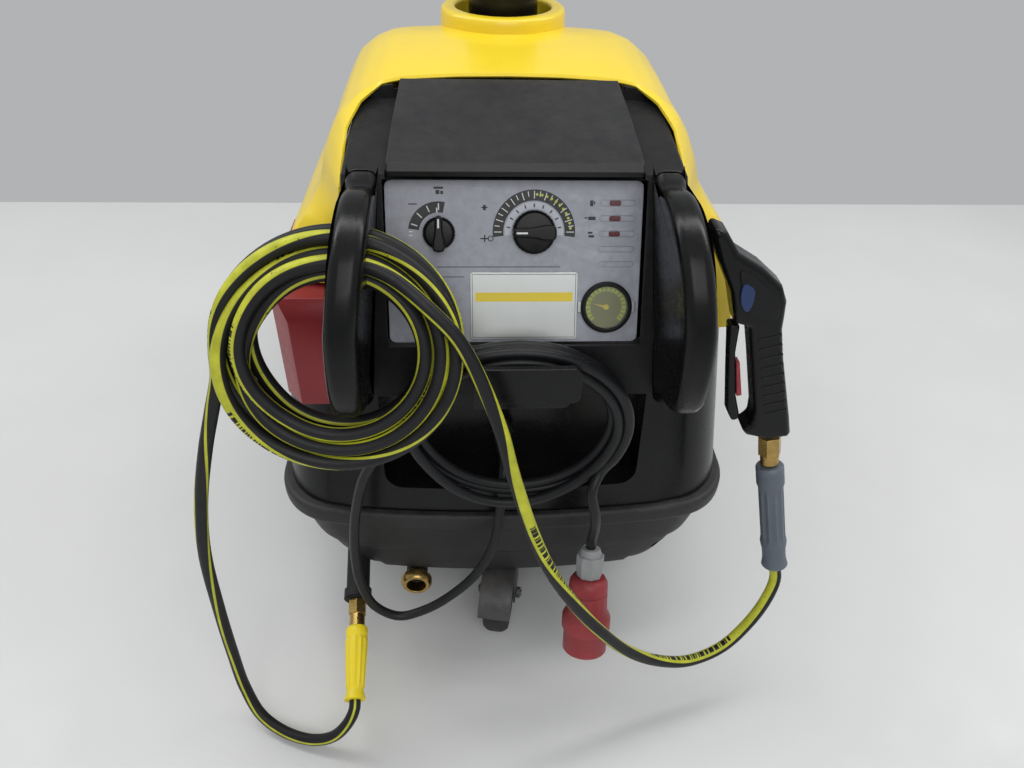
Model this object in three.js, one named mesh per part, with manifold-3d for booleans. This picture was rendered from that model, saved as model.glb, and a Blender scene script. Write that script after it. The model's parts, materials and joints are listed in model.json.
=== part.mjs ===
// Mobile hot-water high-pressure cleaner. Millimetres, +Z up.
// The origin is on the floor below the middle of the machine. The operator stands on the -Y side.
import * as THREE from 'three';
import { mergeVertices } from 'three/addons/utils/BufferGeometryUtils.js';
import Module from 'manifold-3d';

const wasm = await Module();
wasm.setup();

// ---------- driving dimensions ----------
const HALF_W = 325;            // half of the overall width, at the chassis rim
const FRONT = -383;            // chassis rim, operator end, on the centre line
const REAR = 530;              // chassis rim, far end
const TUB_Z0 = 132, TUB_Z1 = 235, RIM_Z1 = 262;
const SHELL_Z1 = 530;          // top of the black upper body beside the console
const GAP = 0.3;               // gap between pieces that touch
const WHEEL_R = 110, WHEEL_W = 58, WHEEL_Y = 300, WHEEL_X = 278;
const CASTOR_R = 62.5, CASTOR_W = 38, CASTOR_Y = -315, CASTOR_TRAIL = 40, CASTOR_YAW = 10;
const FLUE_Y = 58, FLUE_TOP = 920, FLUE_R = 48;
const COLLAR_IN = 66, COLLAR_OUT = 86, COLLAR_TOP = 819;
const PANEL_TOP = [-335, 729], PANEL_BOTTOM = [-401, 569];   // (y, z) of the panel plane
const PANEL_HALF_W = 137.7, PANEL_T = 5, PANEL_L = 171;
const HOSE_R = 7.8, CABLE_R = 6.5;
const HOSE_COIL = { c: [-181, -462, 603], tilt: 18, rOut: 131, rIn: 78, half: 22 };
const CABLE_COIL = { c: [4, -433, 474], ax: 134, az: 116, ix: 104, iz: 88, half: 12.5 };

// ---------- helpers ----------
function bare(geo) {
  if (!geo.attributes.normal && !geo.attributes.uv && geo.index) return geo;
  const g = geo.index ? geo.toNonIndexed() : geo.clone();
  g.deleteAttribute('normal');
  g.deleteAttribute('uv');
  const m = mergeVertices(g, 1e-4), ix = m.index.array, keep = [];
  for (let i = 0; i < ix.length; i += 3) {
    if (ix[i] !== ix[i + 1] && ix[i + 1] !== ix[i + 2] && ix[i] !== ix[i + 2]) keep.push(ix[i], ix[i + 1], ix[i + 2]);
  }
  m.setIndex(keep);
  return m;
}
function volume(g) {
  const p = g.attributes.position, ix = g.index.array;
  let v = 0;
  const a = new THREE.Vector3(), b = new THREE.Vector3(), c = new THREE.Vector3();
  for (let i = 0; i < ix.length; i += 3) {
    a.fromBufferAttribute(p, ix[i]); b.fromBufferAttribute(p, ix[i + 1]); c.fromBufferAttribute(p, ix[i + 2]);
    v += a.dot(b.cross(c)) / 6;
  }
  return v;
}
function orient(geo) {
  const g = bare(geo);
  if (volume(g) < 0) {
    const ix = g.index.array;
    for (let i = 0; i < ix.length; i += 3) { const t = ix[i]; ix[i] = ix[i + 1]; ix[i + 1] = t; }
  }
  return g;
}
function solid(geo) {
  if (geo.isSolid) return geo.m;
  const g = orient(geo);
  return new wasm.Manifold(new wasm.Mesh({
    numProp: 3,
    vertProperties: new Float32Array(g.attributes.position.array),
    triVerts: new Uint32Array(g.index.array),
  }));
}
const S = (m) => ({ isSolid: true, m });
const add = (...gs) => S(gs.map(solid).reduce((a, b) => a.add(b)));
const cut = (g, ...gs) => S(gs.map(solid).reduce((a, b) => a.subtract(b), solid(g)));
const both = (a, b) => S(solid(a).intersect(solid(b)));
function geometry(g) {
  if (!g.isSolid) { const o = orient(g); o.computeVertexNormals(); return o; }
  const mesh = g.m.getMesh();
  const out = new THREE.BufferGeometry();
  const n = mesh.vertProperties.length / mesh.numProp;
  const pos = new Float32Array(n * 3);
  for (let i = 0; i < n; i++) for (let k = 0; k < 3; k++) pos[3 * i + k] = mesh.vertProperties[i * mesh.numProp + k];
  out.setAttribute('position', new THREE.BufferAttribute(pos, 3));
  out.setIndex(new THREE.BufferAttribute(new Uint32Array(mesh.triVerts), 1));
  const merged = mergeVertices(out, 1e-4);
  merged.computeVertexNormals();
  return merged;
}
const box = (x0, x1, y0, y1, z0, z1) => new THREE.BoxGeometry(x1 - x0, y1 - y0, z1 - z0)
  .translate((x0 + x1) / 2, (y0 + y1) / 2, (z0 + z1) / 2);
const shapeOf = (pts) => new THREE.Shape(pts.map(([x, y]) => new THREE.Vector2(x, y)));
function plan(pts, z0, z1, bevel = 0) {          // outline in X and Y, extruded up
  return extr(shapeOf(pts), z1 - z0, bevel).translate(0, 0, z0);
}
function extr(shape, depth, bevel = 0, seg = 1, curveSegments = 8) {
  const g = new THREE.ExtrudeGeometry(shape, {
    depth: depth - 2 * bevel, bevelEnabled: bevel > 0, bevelThickness: bevel, bevelSize: bevel,
    bevelOffset: -bevel, bevelSegments: seg, steps: 1, curveSegments,
  });
  return g.translate(0, 0, bevel);
}
// outline in Y and Z, extruded along X
function side(pts, x0, x1, bevel = 0, seg = 1) {
  const g = extr(shapeOf(pts), x1 - x0, bevel, seg);
  g.applyMatrix4(new THREE.Matrix4().set(0, 0, 1, x0, 1, 0, 0, 0, 0, 1, 0, 0, 0, 0, 0, 1));
  return g;
}
// outline in X and Z, extruded along Y
function front(pts, y0, y1, bevel = 0, seg = 1) {
  const g = extr(shapeOf(pts), y1 - y0, bevel, seg);
  g.applyMatrix4(new THREE.Matrix4().set(1, 0, 0, 0, 0, 0, -1, y1, 0, 1, 0, 0, 0, 0, 0, 1));
  return g;
}
function frameTo(geo, origin, axis, up = [0, 0, 1]) {  // local Y of the geometry goes to axis
  const y = new THREE.Vector3(...axis).normalize();
  const z0 = new THREE.Vector3(...up);
  const x = new THREE.Vector3().crossVectors(y, z0).normalize();
  const z = new THREE.Vector3().crossVectors(x, y);
  const m = new THREE.Matrix4().makeBasis(x, y, z).setPosition(...origin);
  return bare(geo).applyMatrix4(m);
}
function turned(profile, seg, origin, axis, up) {   // profile: [radius, height] pairs
  const g = new THREE.LatheGeometry(profile.map(([r, h]) => new THREE.Vector2(r, h)), seg);
  return frameTo(g, origin, axis, up);
}
function rod(r, from, to, seg = 16) {
  const a = new THREE.Vector3(...from), b = new THREE.Vector3(...to);
  const d = b.clone().sub(a), L = d.length();
  const up = Math.abs(d.z) > 0.9 * L ? [1, 0, 0] : [0, 0, 1];
  return frameTo(new THREE.CylinderGeometry(r, r, L, seg).translate(0, L / 2, 0), from, d.toArray(), up);
}
function ringProfile(rIn, rOut, h0, h1, c = 0) {    // closed section for a turned ring
  if (!c) return [[rIn, h0], [rOut, h0], [rOut, h1], [rIn, h1], [rIn, h0]];
  return [[rIn + c, h0], [rOut - c, h0], [rOut, h0 + c], [rOut, h1 - c], [rOut - c, h1], [rIn + c, h1], [rIn, h1 - c], [rIn, h0 + c], [rIn + c, h0]];
}
function tube(pts, r, sides, steps) {
  const s = [];
  for (let i = 0; i < sides; i++) { const a = (2 * Math.PI * i) / sides; s.push([r * Math.cos(a), r * Math.sin(a)]); }
  const path = new THREE.CatmullRomCurve3(pts.map((p) => new THREE.Vector3(...p)), false, 'centripetal');
  return new THREE.ExtrudeGeometry(shapeOf(s), { steps, bevelEnabled: false, extrudePath: path });
}
function shell(nu, nv, fn) {                       // fn(u, v, w): w is 1 outside, 0 inside
  const g = new THREE.BoxGeometry(1, 1, 1, nu, nv, 1);
  const p = g.attributes.position;
  for (let i = 0; i < p.count; i++) {
    const q = fn(p.getX(i) + 0.5, p.getY(i) + 0.5, p.getZ(i) + 0.5);
    p.setXYZ(i, q[0], q[1], q[2]);
  }
  return g;
}
function lerpTable(rows, t) {                      // rows: [t, a, b, ...]
  let i = 0;
  while (i < rows.length - 2 && t > rows[i + 1][0]) i++;
  const k = (t - rows[i][0]) / (rows[i + 1][0] - rows[i][0]);
  return rows[i].map((v, j) => v + (rows[i + 1][j] - v) * k);
}
// a frame on the sloping control panel: x across, s down the slope, n out of it
const PD = new THREE.Vector2(PANEL_BOTTOM[0] - PANEL_TOP[0], PANEL_BOTTOM[1] - PANEL_TOP[1]).normalize();
const onPanel = (x, s, n) => [x, PANEL_TOP[0] + PD.x * s + PD.y * n, PANEL_TOP[1] + PD.y * s - PD.x * n];
const PANEL_N = [0, PD.y, -PD.x];
const PANEL_UP = [0, -PD.x, -PD.y];
function panelPlate(pts, n0, n1, holes = []) {     // outline in (x, s)
  const shape = shapeOf(pts.map(([x, s]) => [x, -s]));
  for (const [x, s, r] of holes) {
    const h = [];
    for (let i = 0; i < 20; i++) { const a = (2 * Math.PI * i) / 20; h.push(new THREE.Vector2(x + r * Math.cos(a), -s + r * Math.sin(a))); }
    shape.holes.push(new THREE.Path(h));
  }
  const g = new THREE.ExtrudeGeometry(shape, { depth: n1 - n0, bevelEnabled: false });
  g.translate(0, 0, n0);
  const o = onPanel(0, 0, 0);
  const m = new THREE.Matrix4().makeBasis(new THREE.Vector3(1, 0, 0), new THREE.Vector3(...PANEL_UP), new THREE.Vector3(...PANEL_N)).setPosition(...o);
  return g.applyMatrix4(m);
}
function roundedRect(x0, x1, s0, s1, r, n = 3) {
  const out = [];
  const c = [[x1 - r, s0 + r, -90], [x1 - r, s1 - r, 0], [x0 + r, s1 - r, 90], [x0 + r, s0 + r, 180]];
  for (const [cx, cy, a0] of c) for (let i = 0; i <= n; i++) {
    const a = ((a0 + (90 * i) / n) * Math.PI) / 180;
    out.push([cx + r * Math.cos(a), cy + r * Math.sin(a)]);
  }
  return out;
}

// ---------- materials and group ----------
const part = new THREE.Group();
const colours = {
  yellow: [0xeccb1c, 0.32, 0], black: [0x1b1c1d, 0.45, 0], smooth: [0x141516, 0.25, 0], tub: [0x3a3b3c, 0.65, 0],
  grey: [0x9a9ca6, 0.45, 0], red: [0xb0303a, 0.4, 0], brass: [0xa8884a, 0.3, 1], steel: [0x9a9da0, 0.35, 1],
  rubber: [0x17181a, 0.8, 0], hose: [0x1a1b1d, 0.6, 0], cable: [0x26282a, 0.6, 0], sleeveY: [0xf2dc1c, 0.5, 0],
  sleeveG: [0x6e7782, 0.6, 0], lightgrey: [0x8d8f90, 0.5, 0], glass: [0xf0f4f6, 0.05, 0], led: [0x5a0d10, 0.3, 0],
  plate: [0xc8cbc8, 0.35, 0.3], zinc: [0x8c8f92, 0.45, 0.9], tank: [0xd8d8d0, 0.5, 0], motor: [0x3c4348, 0.5, 0.6],
};
function put(name, geo, key) {
  const [color, roughness, metalness] = colours[key];
  const mesh = new THREE.Mesh(geometry(geo), new THREE.MeshStandardMaterial({ color, roughness, metalness }));
  mesh.name = name;
  part.add(mesh);
}

// ---------- chassis outline ----------
// half outline, operator end first; dx and dy pull the sides and the ends in
function outline(dx, dyFront, dyRear = dyFront) {
  const half = [];
  const w = HALF_W - dx;
  for (const t of [0.18, 0.36, 0.54, 0.68]) half.push([w * t, FRONT + dyFront + 26 * t * t]);
  const cx = w - 88, fy = FRONT + dyFront + 26 * 0.53;
  for (let i = 0; i <= 4; i++) { const a = (-82 + 82 * (i / 4)) * Math.PI / 180; half.push([cx + 88 * Math.cos(a), fy + 95 + 92 * Math.sin(a)]); }
  const ry = REAR - dyRear - 90;
  for (let i = 0; i <= 4; i++) { const a = (90 * i / 4) * Math.PI / 180; half.push([w - 90 + 90 * Math.cos(a), ry + 90 * Math.sin(a)]); }
  const left = half.map(([x, y]) => [-x, y]).reverse();
  return [...half, ...left];
}
function tapered(z0, z1, a, b) {                   // a, b: [dx, dyFront, dyRear] at z0 and z1
  const o0 = outline(...a), o1 = outline(...b);
  const g = plan(o0, z0, z1);
  const p = g.attributes.position;
  for (let i = 0; i < p.count; i++) if (p.getZ(i) > (z0 + z1) / 2) {
    let best = 0, bd = 1e9;
    for (let k = 0; k < o0.length; k++) { const d = (o0[k][0] - p.getX(i)) ** 2 + (o0[k][1] - p.getY(i)) ** 2; if (d < bd) { bd = d; best = k; } }
    p.setXY(i, o1[best][0], o1[best][1]);
  }
  return g;
}

// ---------- chassis tub ----------
{
  const outer = add(
    tapered(TUB_Z0, 181, [62, 12, 20], [36, 9, 12]),
    tapered(180, 236, [32, 6, 10], [14, 5, 8]),
    plan(outline(0, 0, 0), 235, RIM_Z1, 4));
  const bay = (s, g) => add(
    rod(122 + g, [s * (240 - g), WHEEL_Y, WHEEL_R], [s * 340, WHEEL_Y, WHEEL_R], 24),
    box(Math.min(s * (240 - g), s * 340), Math.max(s * (240 - g), s * 340), WHEEL_Y - 122 - g, WHEEL_Y + 122 + g, 60, WHEEL_R));
  const pocket = (g) => box(-52 - g, 52 + g, CASTOR_Y - 46 - g, CASTOR_Y + 46 + g, 100, 158 + g);
  let inner = add(tapered(138, 186, [68, 18, 26], [42, 15, 18]), tapered(185, 270, [40, 13, 18], [18, 11, 14]));
  inner = cut(inner, bay(1, 4), bay(-1, 4), pocket(5));
  put('chassis_tub', cut(outer, inner, bay(1, 0), bay(-1, 0), pocket(0),
    rod(11, [-260, WHEEL_Y, 150.5 - 0.5], [260, WHEEL_Y, 150], 12),
    rod(19, [-224.6, -290, 142.4], [-216.5, -433, 104], 16),
    front(roundedRect(222, 262, 143, 161, 9), -420, -330)), 'tub');
}

// ---------- black upper body, with the cable recess ----------
{
  const outer = tapered(RIM_Z1 + GAP, SHELL_Z1, [11, 10, 10], [44, 36, 30]);
  const inner = tapered(RIM_Z1 - 2, SHELL_Z1 + 2, [16.5, 15.5, 15], [49, 41, 35]);
  const recess = (g) => add(box(-166 - g, 176 + g, -420, -296 + g, 304 - g, 600));
  const consoleWay = box(-186, 186, -430, -120, 504, 600);
  const tankWay = (g) => box(-360, -163 + g, -430, -146 + g, 452 - g, 600);
  put('upper_shell', cut(outer, cut(inner, recess(5), tankWay(0)), recess(0), consoleWay, tankWay(0),
    rod(12.3, [-6, -330, 358], [-6, -270, 358], 16)), 'black');
}

// ---------- console housing ----------
const consoleSide = [[-181, 600], [-230, 560], [-300, 508], [-418, 508], [-416, 590], [-358, 735], [-350, 746], [-181, 768]];
{
  const hollow = [[-190, 604], [-234, 566], [-302, 500], [-412, 500], [-410, 588], [-352.5, 731], [-346, 739], [-190, 760]];
  const trayOut = [[-182, 640], [-293, 640], [-320, 690], [-320, 800], [-182, 800]];
  const trayIn = [[-190, 646], [-289, 646], [-315, 692], [-315, 820], [-190, 820]];
  const recess = panelPlate([[-138, -4], [138, -4], [138, 172], [-138, 172]], -6, 60);
  put('console_housing', cut(side(consoleSide, -180, 180, 3),
    cut(side(hollow, -173, 173), side(trayOut, -131, 131)), side(trayIn, -127, 127), recess, box(-134, 134, -400, -341, 740, 800)), 'black');
}
put('storage_lid', both(side([[-174, 781.7], [-344, 750.8], [-348, 744], [-353, 744], [-354.5, 750], [-350, 757.5], [-174, 787.8]], -133, 133, 1.5),
  plan([[-133, -360], [133, -360], [133, -300], [128, -174], [-128, -174], [-133, -300]], 700, 800)), 'smooth');

// ---------- control panel ----------
{
  let panel = panelPlate(roundedRect(-PANEL_HALF_W, PANEL_HALF_W, -3.5, PANEL_L, 7), -PANEL_T, 0, [[-81.2, 51.4, 5], [20.7, 50.3, 5], [101.9, 132.1, 27.4]]);
  for (const s of [19.7, 36, 52.3, 68.6, 84.8]) panel = cut(panel, panelPlate(roundedRect(91, 130, s - 3.4, s + 3.4, 3.2, 2), -1.5, 2));
  put('control_panel', panel, 'grey');
  put('label_plate', panelPlate(roundedRect(-48.5, 69.5, 93.5, 168, 2, 1), GAP, 1.2), 'plate');
  ['led_top', 'led_middle', 'led_low'].forEach((n, i) => put(n, panelPlate(roundedRect(102, 114, 17.2 + 16.3 * i, 22.2 + 16.3 * i, 1, 1), -1.2, 0.6), 'led'));
}
function knob(name, x, s, r, grip, gripW, dir) {
  const o = onPanel(x, s, 0);
  const base = turned([[0, GAP], [r, GAP], [r, 5], [r - 3, 8], [0, 8]], 24, o, PANEL_N);
  const a = (dir * Math.PI) / 180, ux = Math.sin(a), us = -Math.cos(a);   // pointer direction on the panel
  const q = (l, w) => [x + ux * l - us * w, s + us * l + ux * w];
  const bar = panelPlate([q(-grip, -gripW), q(grip, -gripW * 0.7), q(grip, gripW * 0.7), q(-grip, gripW)], 4, 15);
  const shaft = turned([[0, -16], [4.5, -16], [4.5, 2], [0, 2]], 12, o, PANEL_N);
  put(name, add(base, bar, shaft), 'black');
}
knob('selector_knob', -81.2, 51.4, 17.5, 18, 6, 0);
knob('temperature_knob', 20.7, 50.3, 23.5, 22, 7.5, -90);
{
  const o = onPanel(101.9, 132.1, 0);
  put('gauge_body', turned([[0, -24], [26, -24], [26, GAP], [28.5, GAP], [28.5, 4.5], [26, 6], [23.5, 6], [23.5, -1], [3, -1], [0, -1]], 24, o, PANEL_N), 'black');
  const needle = add(panelPlate([[100.9, 133.4], [86.5, 128.4], [100.9, 130.8]].map(([a, b]) => [a + 1, b]), 0, 1), turned([[0, -0.7], [3, -0.7], [3, 1.4], [0, 1.4]], 12, o, PANEL_N));
  put('gauge_needle', needle, 'black');
  put('gauge_lens', turned([[0, 3.4], [23.2, 3.4], [23.2, 5.2], [0, 5.8]], 24, o, PANEL_N), 'glass');
}

// ---------- bow handles ----------
function bowHandle(name, sgn) {
  const outer = [[-357.2, 739.5], [-390, 750], [-425, 757], [-462, 750], [-497, 726], [-519, 690], [-530, 645], [-529, 600], [-517, 566], [-498, 548], [-460, 533], [-418.5, 522]];
  const back = [[-416.6, 590], [-389.7, 657], [-438, 660], [-478, 665], [-491, 678], [-490, 700], [-474, 724], [-446, 736.5], [-420, 738], [-385, 731], [-362, 726.5]];
  const g = side([...outer, ...back], -16, 16, 6, 2);
  const rows = [[500, 173], [560, 173], [660, 168], [757, 155], [800, 152]];
  const p = g.attributes.position;
  for (let i = 0; i < p.count; i++) p.setX(i, p.getX(i) + sgn * lerpTable(rows, p.getZ(i))[1]);
  put(name, g, 'smooth');
}
bowHandle('handle_left', -1);
bowHandle('handle_right', 1);

// ---------- cable hook ----------
{
  const c = CABLE_COIL.c, top = [];
  for (let i = 0; i <= 8; i++) { const x = -46 + (106 * i) / 8; top.push([x, c[2] + (CABLE_COIL.iz - 2) * Math.sqrt(1 - ((x - c[0]) / (CABLE_COIL.ix - 2)) ** 2)]); }
  const arm = front([[-46, 522], [60, 522], ...top.reverse()], -459, -418.6);
  const lip = front(roundedRect(-46, 70, 534, 581, 6, 2), -466, -458);
  put('cable_hook', add(arm, lip), 'black');
}

// ---------- red fuel tank ----------
{
  const body = add(box(-282, -182, -366, -150, 455, 597), box(-262, -192, -270, 22, 330, 460));
  const rounded = both(body, side([[-366, 320], [30, 320], [30, 597], [-350, 597], [-366, 575]], -300, -160));
  const slope = plan([[-282.5, -300], [-282.5, 31], [-181, 31], [-181, -367], [-255, -367], [-277, -340]], 300, 610);
  const hollow = add(box(-278, -186, -360, -154, 459, 592), box(-258, -196, -266, 18, 334, 470));
  const hollow2 = both(hollow, plan([[-278.5, -298], [-278.5, 27], [-185, 27], [-185, -361], [-253, -361], [-273, -338]], 300, 610));
  const neck = rod(22, [-226, -200, 590], [-226, -200, 604], 16);
  put('fuel_tank', cut(add(both(rounded, slope), neck), both(hollow2, side([[-360, 320], [26, 320], [26, 592], [-347, 592], [-360, 573]], -300, -160)), rod(18, [-226, -200, 580], [-226, -200, 620], 16)), 'red');
  put('fuel_cap', turned([[0, 4.3], [27, 4.3], [27, 15], [24, 18], [0, 18]], 18, [-226, -200, 600], [0, 0, 1], [0, 1, 0]), 'black');
}

// ---------- hood ----------
const hoodSection = [   // x, z, y of the front corner, then x, y of the front wall's inner edge
  [282, 533, -316, 187, -326], [272, 580, -316, 187, -326], [263, 622, -314, 187, -326], [249, 660, -306, 187, -328],
  [228, 684, -290, 187, -334], [218, 703, -270, 187, -338], [213, 730, -250, 186, -334], [206, 751, -235, 185, -300],
  [195, 770, -220, 184, -258], [174, 786, -198, 171, -211], [150, 795, -176, 149, -179], [124, 798, -168, 124, -171], [62, 801, -166, 62, -169]];
const crest = [[-340, 0.965], [-172, 0.965], [-120, 0.985], [-60, 0.997], [0, 1], [40, 0.985], [100, 0.93], [200, 0.8], [300, 0.655], [400, 0.485], [455, 0.335], [490, 0.15], [502, 0.045]];
const hoodRows = [0, 1, -100, -40, 10, 60, 120, 200, 300, 410, 450, 478, 495, 502];
{
  const n = hoodSection.length;
  const N = 2 * n;                                  // the crown's middle is one more point
  const sect = (k) => {                             // 0 .. 2n, left bottom to right bottom
    if (k === n) return [0, 802, -166, 0, -169];
    const r = k < n ? hoodSection[k] : hoodSection[2 * n - k];
    const s = k < n ? -1 : 1;
    return [s * r[0], r[1], r[2], s * r[3], r[4]];
  };
  // ahead of the crest only the crown dips
  const low = (z, y) => 1 - (1 - lerpTable(crest, Math.max(y, -200))[1]) * Math.min(1, Math.max(0, (z - 690) / 100));
  const at = (k, j) => {
    const [x, z, yk, ex, ey] = sect(k);
    if (j === 0) return [ex, ey, 533 + (z - 533) * low(z, ey) - (z > 600 ? 3 : 0)];
    const y = j === 1 ? yk : Math.max(hoodRows[j], yk + 8 * j);
    const hh = y < -60 ? low(z, y) : lerpTable(crest, y)[1];
    const w = y > 410 ? (191 + 90 * Math.sqrt(Math.max(0, 1 - ((y - 410) / 92) ** 2))) / 281 : 1;   // round rear corners
    const zz = 533 + (z - 533) * hh;
    return [x * w, y, zz];
  };
  const nv = hoodRows.length - 1, T = 4;
  const grid = [];
  for (let k = 0; k <= N; k++) { grid.push([]); for (let j = 0; j <= nv; j++) grid[k].push(new THREE.Vector3(...at(k, j))); }
  const normal = (k, j) => {
    const a = grid[Math.min(k + 1, N)][j].clone().sub(grid[Math.max(k - 1, 0)][j]);
    const b = grid[k][Math.min(j + 1, nv)].clone().sub(grid[k][Math.max(j - 1, 0)]);
    return a.cross(b).normalize();
  };
  const g = shell(N, nv, (u, v, w) => {
    const k = Math.round(u * N), j = Math.round(v * nv);
    const p = grid[k][j].clone();
    if (w < 0.5) p.addScaledVector(normal(k, j), -T * (normal(Math.round(N / 2), 4).z > 0 ? 1 : -1));
    return [p.x, p.y, Math.max(p.z, 533)];
  });
  const collar = turned([[COLLAR_IN, 700], [COLLAR_OUT + 4, 700], [COLLAR_OUT, COLLAR_TOP - 5], [COLLAR_OUT - 5, COLLAR_TOP], [COLLAR_IN + 3, COLLAR_TOP], [COLLAR_IN, COLLAR_TOP - 4], [COLLAR_IN, 700]], 32, [0, FLUE_Y, 0], [0, 0, 1], [0, 1, 0]);
  const keep = side([[-190, 730], [-190, 900], [260, 900], [260, 690], [120, 735]], -100, 100);
  const collarTop = cut(collar, side([[-100, 600], [-100, 778], [0, 776], [58, 756], [120, 741], [200, 715], [200, 600]], -120, 120));
  let hood = cut(add(g, both(collarTop, keep)), rod(COLLAR_IN, [0, FLUE_Y, 690], [0, FLUE_Y, 830], 32));
  hood = cut(hood, box(-330, -163, -420, -146, 500, 600.5));
  put('hood', hood, 'yellow');
}
put('flue_nozzle', turned([[43, 742], [COLLAR_IN - 0.8, 742], [COLLAR_IN - 0.8, 746], [FLUE_R, 750], [FLUE_R, 836], [52, 839], [52, FLUE_TOP - 4], [49, FLUE_TOP], [45, FLUE_TOP], [43, FLUE_TOP - 4], [43, 742]], 20, [0, FLUE_Y, 0], [0, 0, 1], [0, 1, 0]), 'smooth');

// ---------- boiler, burner, pump set and tanks ----------
put('boiler_casing', turned([[40, 735], [36, 735], [36, 686], [144, 686], [144, 149], [60, 149], [60, 145], [148, 145], [148, 690], [40, 690], [40, 735]], 20, [0, FLUE_Y, 0], [0, 0, 1], [0, 1, 0]), 'steel');
{
  const prof = [[88, 220]];
  for (let i = 0; i < 4; i++) prof.push([112, 230 + 100 * i], [120, 270 + 100 * i], [120, 290 + 100 * i]);
  prof.push([88, 640], [88, 220]);
  put('boiler_coil', turned(prof, 14, [0, FLUE_Y, 0], [0, 0, 1], [0, 1, 0]), 'steel');
}
put('blower', add(turned([[0, 0], [92, 0], [92, 78], [30, 78], [30, 92], [0, 92]], 24, [0, 335, 205], [0, 0, 1], [0, 1, 0]), box(-40, 40, 212, 340, 215, 275)), 'motor');
put('motor', turned([[0, 0], [72, 0], [72, 165], [50, 178], [0, 178]], 20, [22, -195, 225], [1, 0, 0]), 'motor');
put('pump', cut(add(box(-160, -40, -245, -145, 170, 280), box(-160, -100, -255, -135, 200, 262)), rod(16, [-50, -195, 225], [-39, -195, 225], 16)), 'steel');
put('pump_shaft', turned([[0, -66], [12, -66], [12, -58], [15.7, -58 + 0], [20, -50], [20, -28], [12, -24], [12, -0.5], [0, -0.5]].map(([r, h]) => [Math.min(r, h < -61.5 ? 12 : r), h + 22]), 16, [0, -195, 225], [1, 0, 0]), 'zinc');
put('float_tank', cut(box(166, 258, -8, 152, 290, 450), box(170, 254, -4, 148, 294, 460)), 'tank');
put('detergent_tank', cut(box(202, 262, -262, -26, 280, 500), box(206, 258, -258, -30, 284, 496), rod(18, [232, -150, 490], [232, -150, 510], 16)), 'tank');

// ---------- rear axle and wheels ----------
put('rear_axle', add(rod(10, [-312, WHEEL_Y, WHEEL_R], [312, WHEEL_Y, WHEEL_R], 16), box(-190, -150, WHEEL_Y - 12, WHEEL_Y + 12, WHEEL_R, 131.6), box(150, 190, WHEEL_Y - 12, WHEEL_Y + 12, WHEEL_R, 131.6)), 'zinc');
for (const [tag, s] of [['left', -1], ['right', 1]]) {
  const ax = [s, 0, 0], o = [s * WHEEL_X, WHEEL_Y, WHEEL_R], h = WHEEL_W / 2;
  put(`tyre_${tag}`, turned([[78.3, -h + 6], [100, -h], [107, -h + 6], [WHEEL_R, -h + 18], [WHEEL_R, h - 18], [107, h - 6], [100, h], [78.3, h - 6], [78.3, -h + 6]], 20, o, ax), 'rubber');
  put(`wheel_${tag}`, turned([[10.4, -h + 2], [26, -h + 2], [26, -6], [66, -6], [66, -h + 6], [78, -h + 6], [78, h - 6], [66, h - 6], [66, 6], [26, 6], [26, h - 4], [10.4, h - 4], [10.4, -h + 2]], 20, o, ax), 'sleeveG');
}

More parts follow.
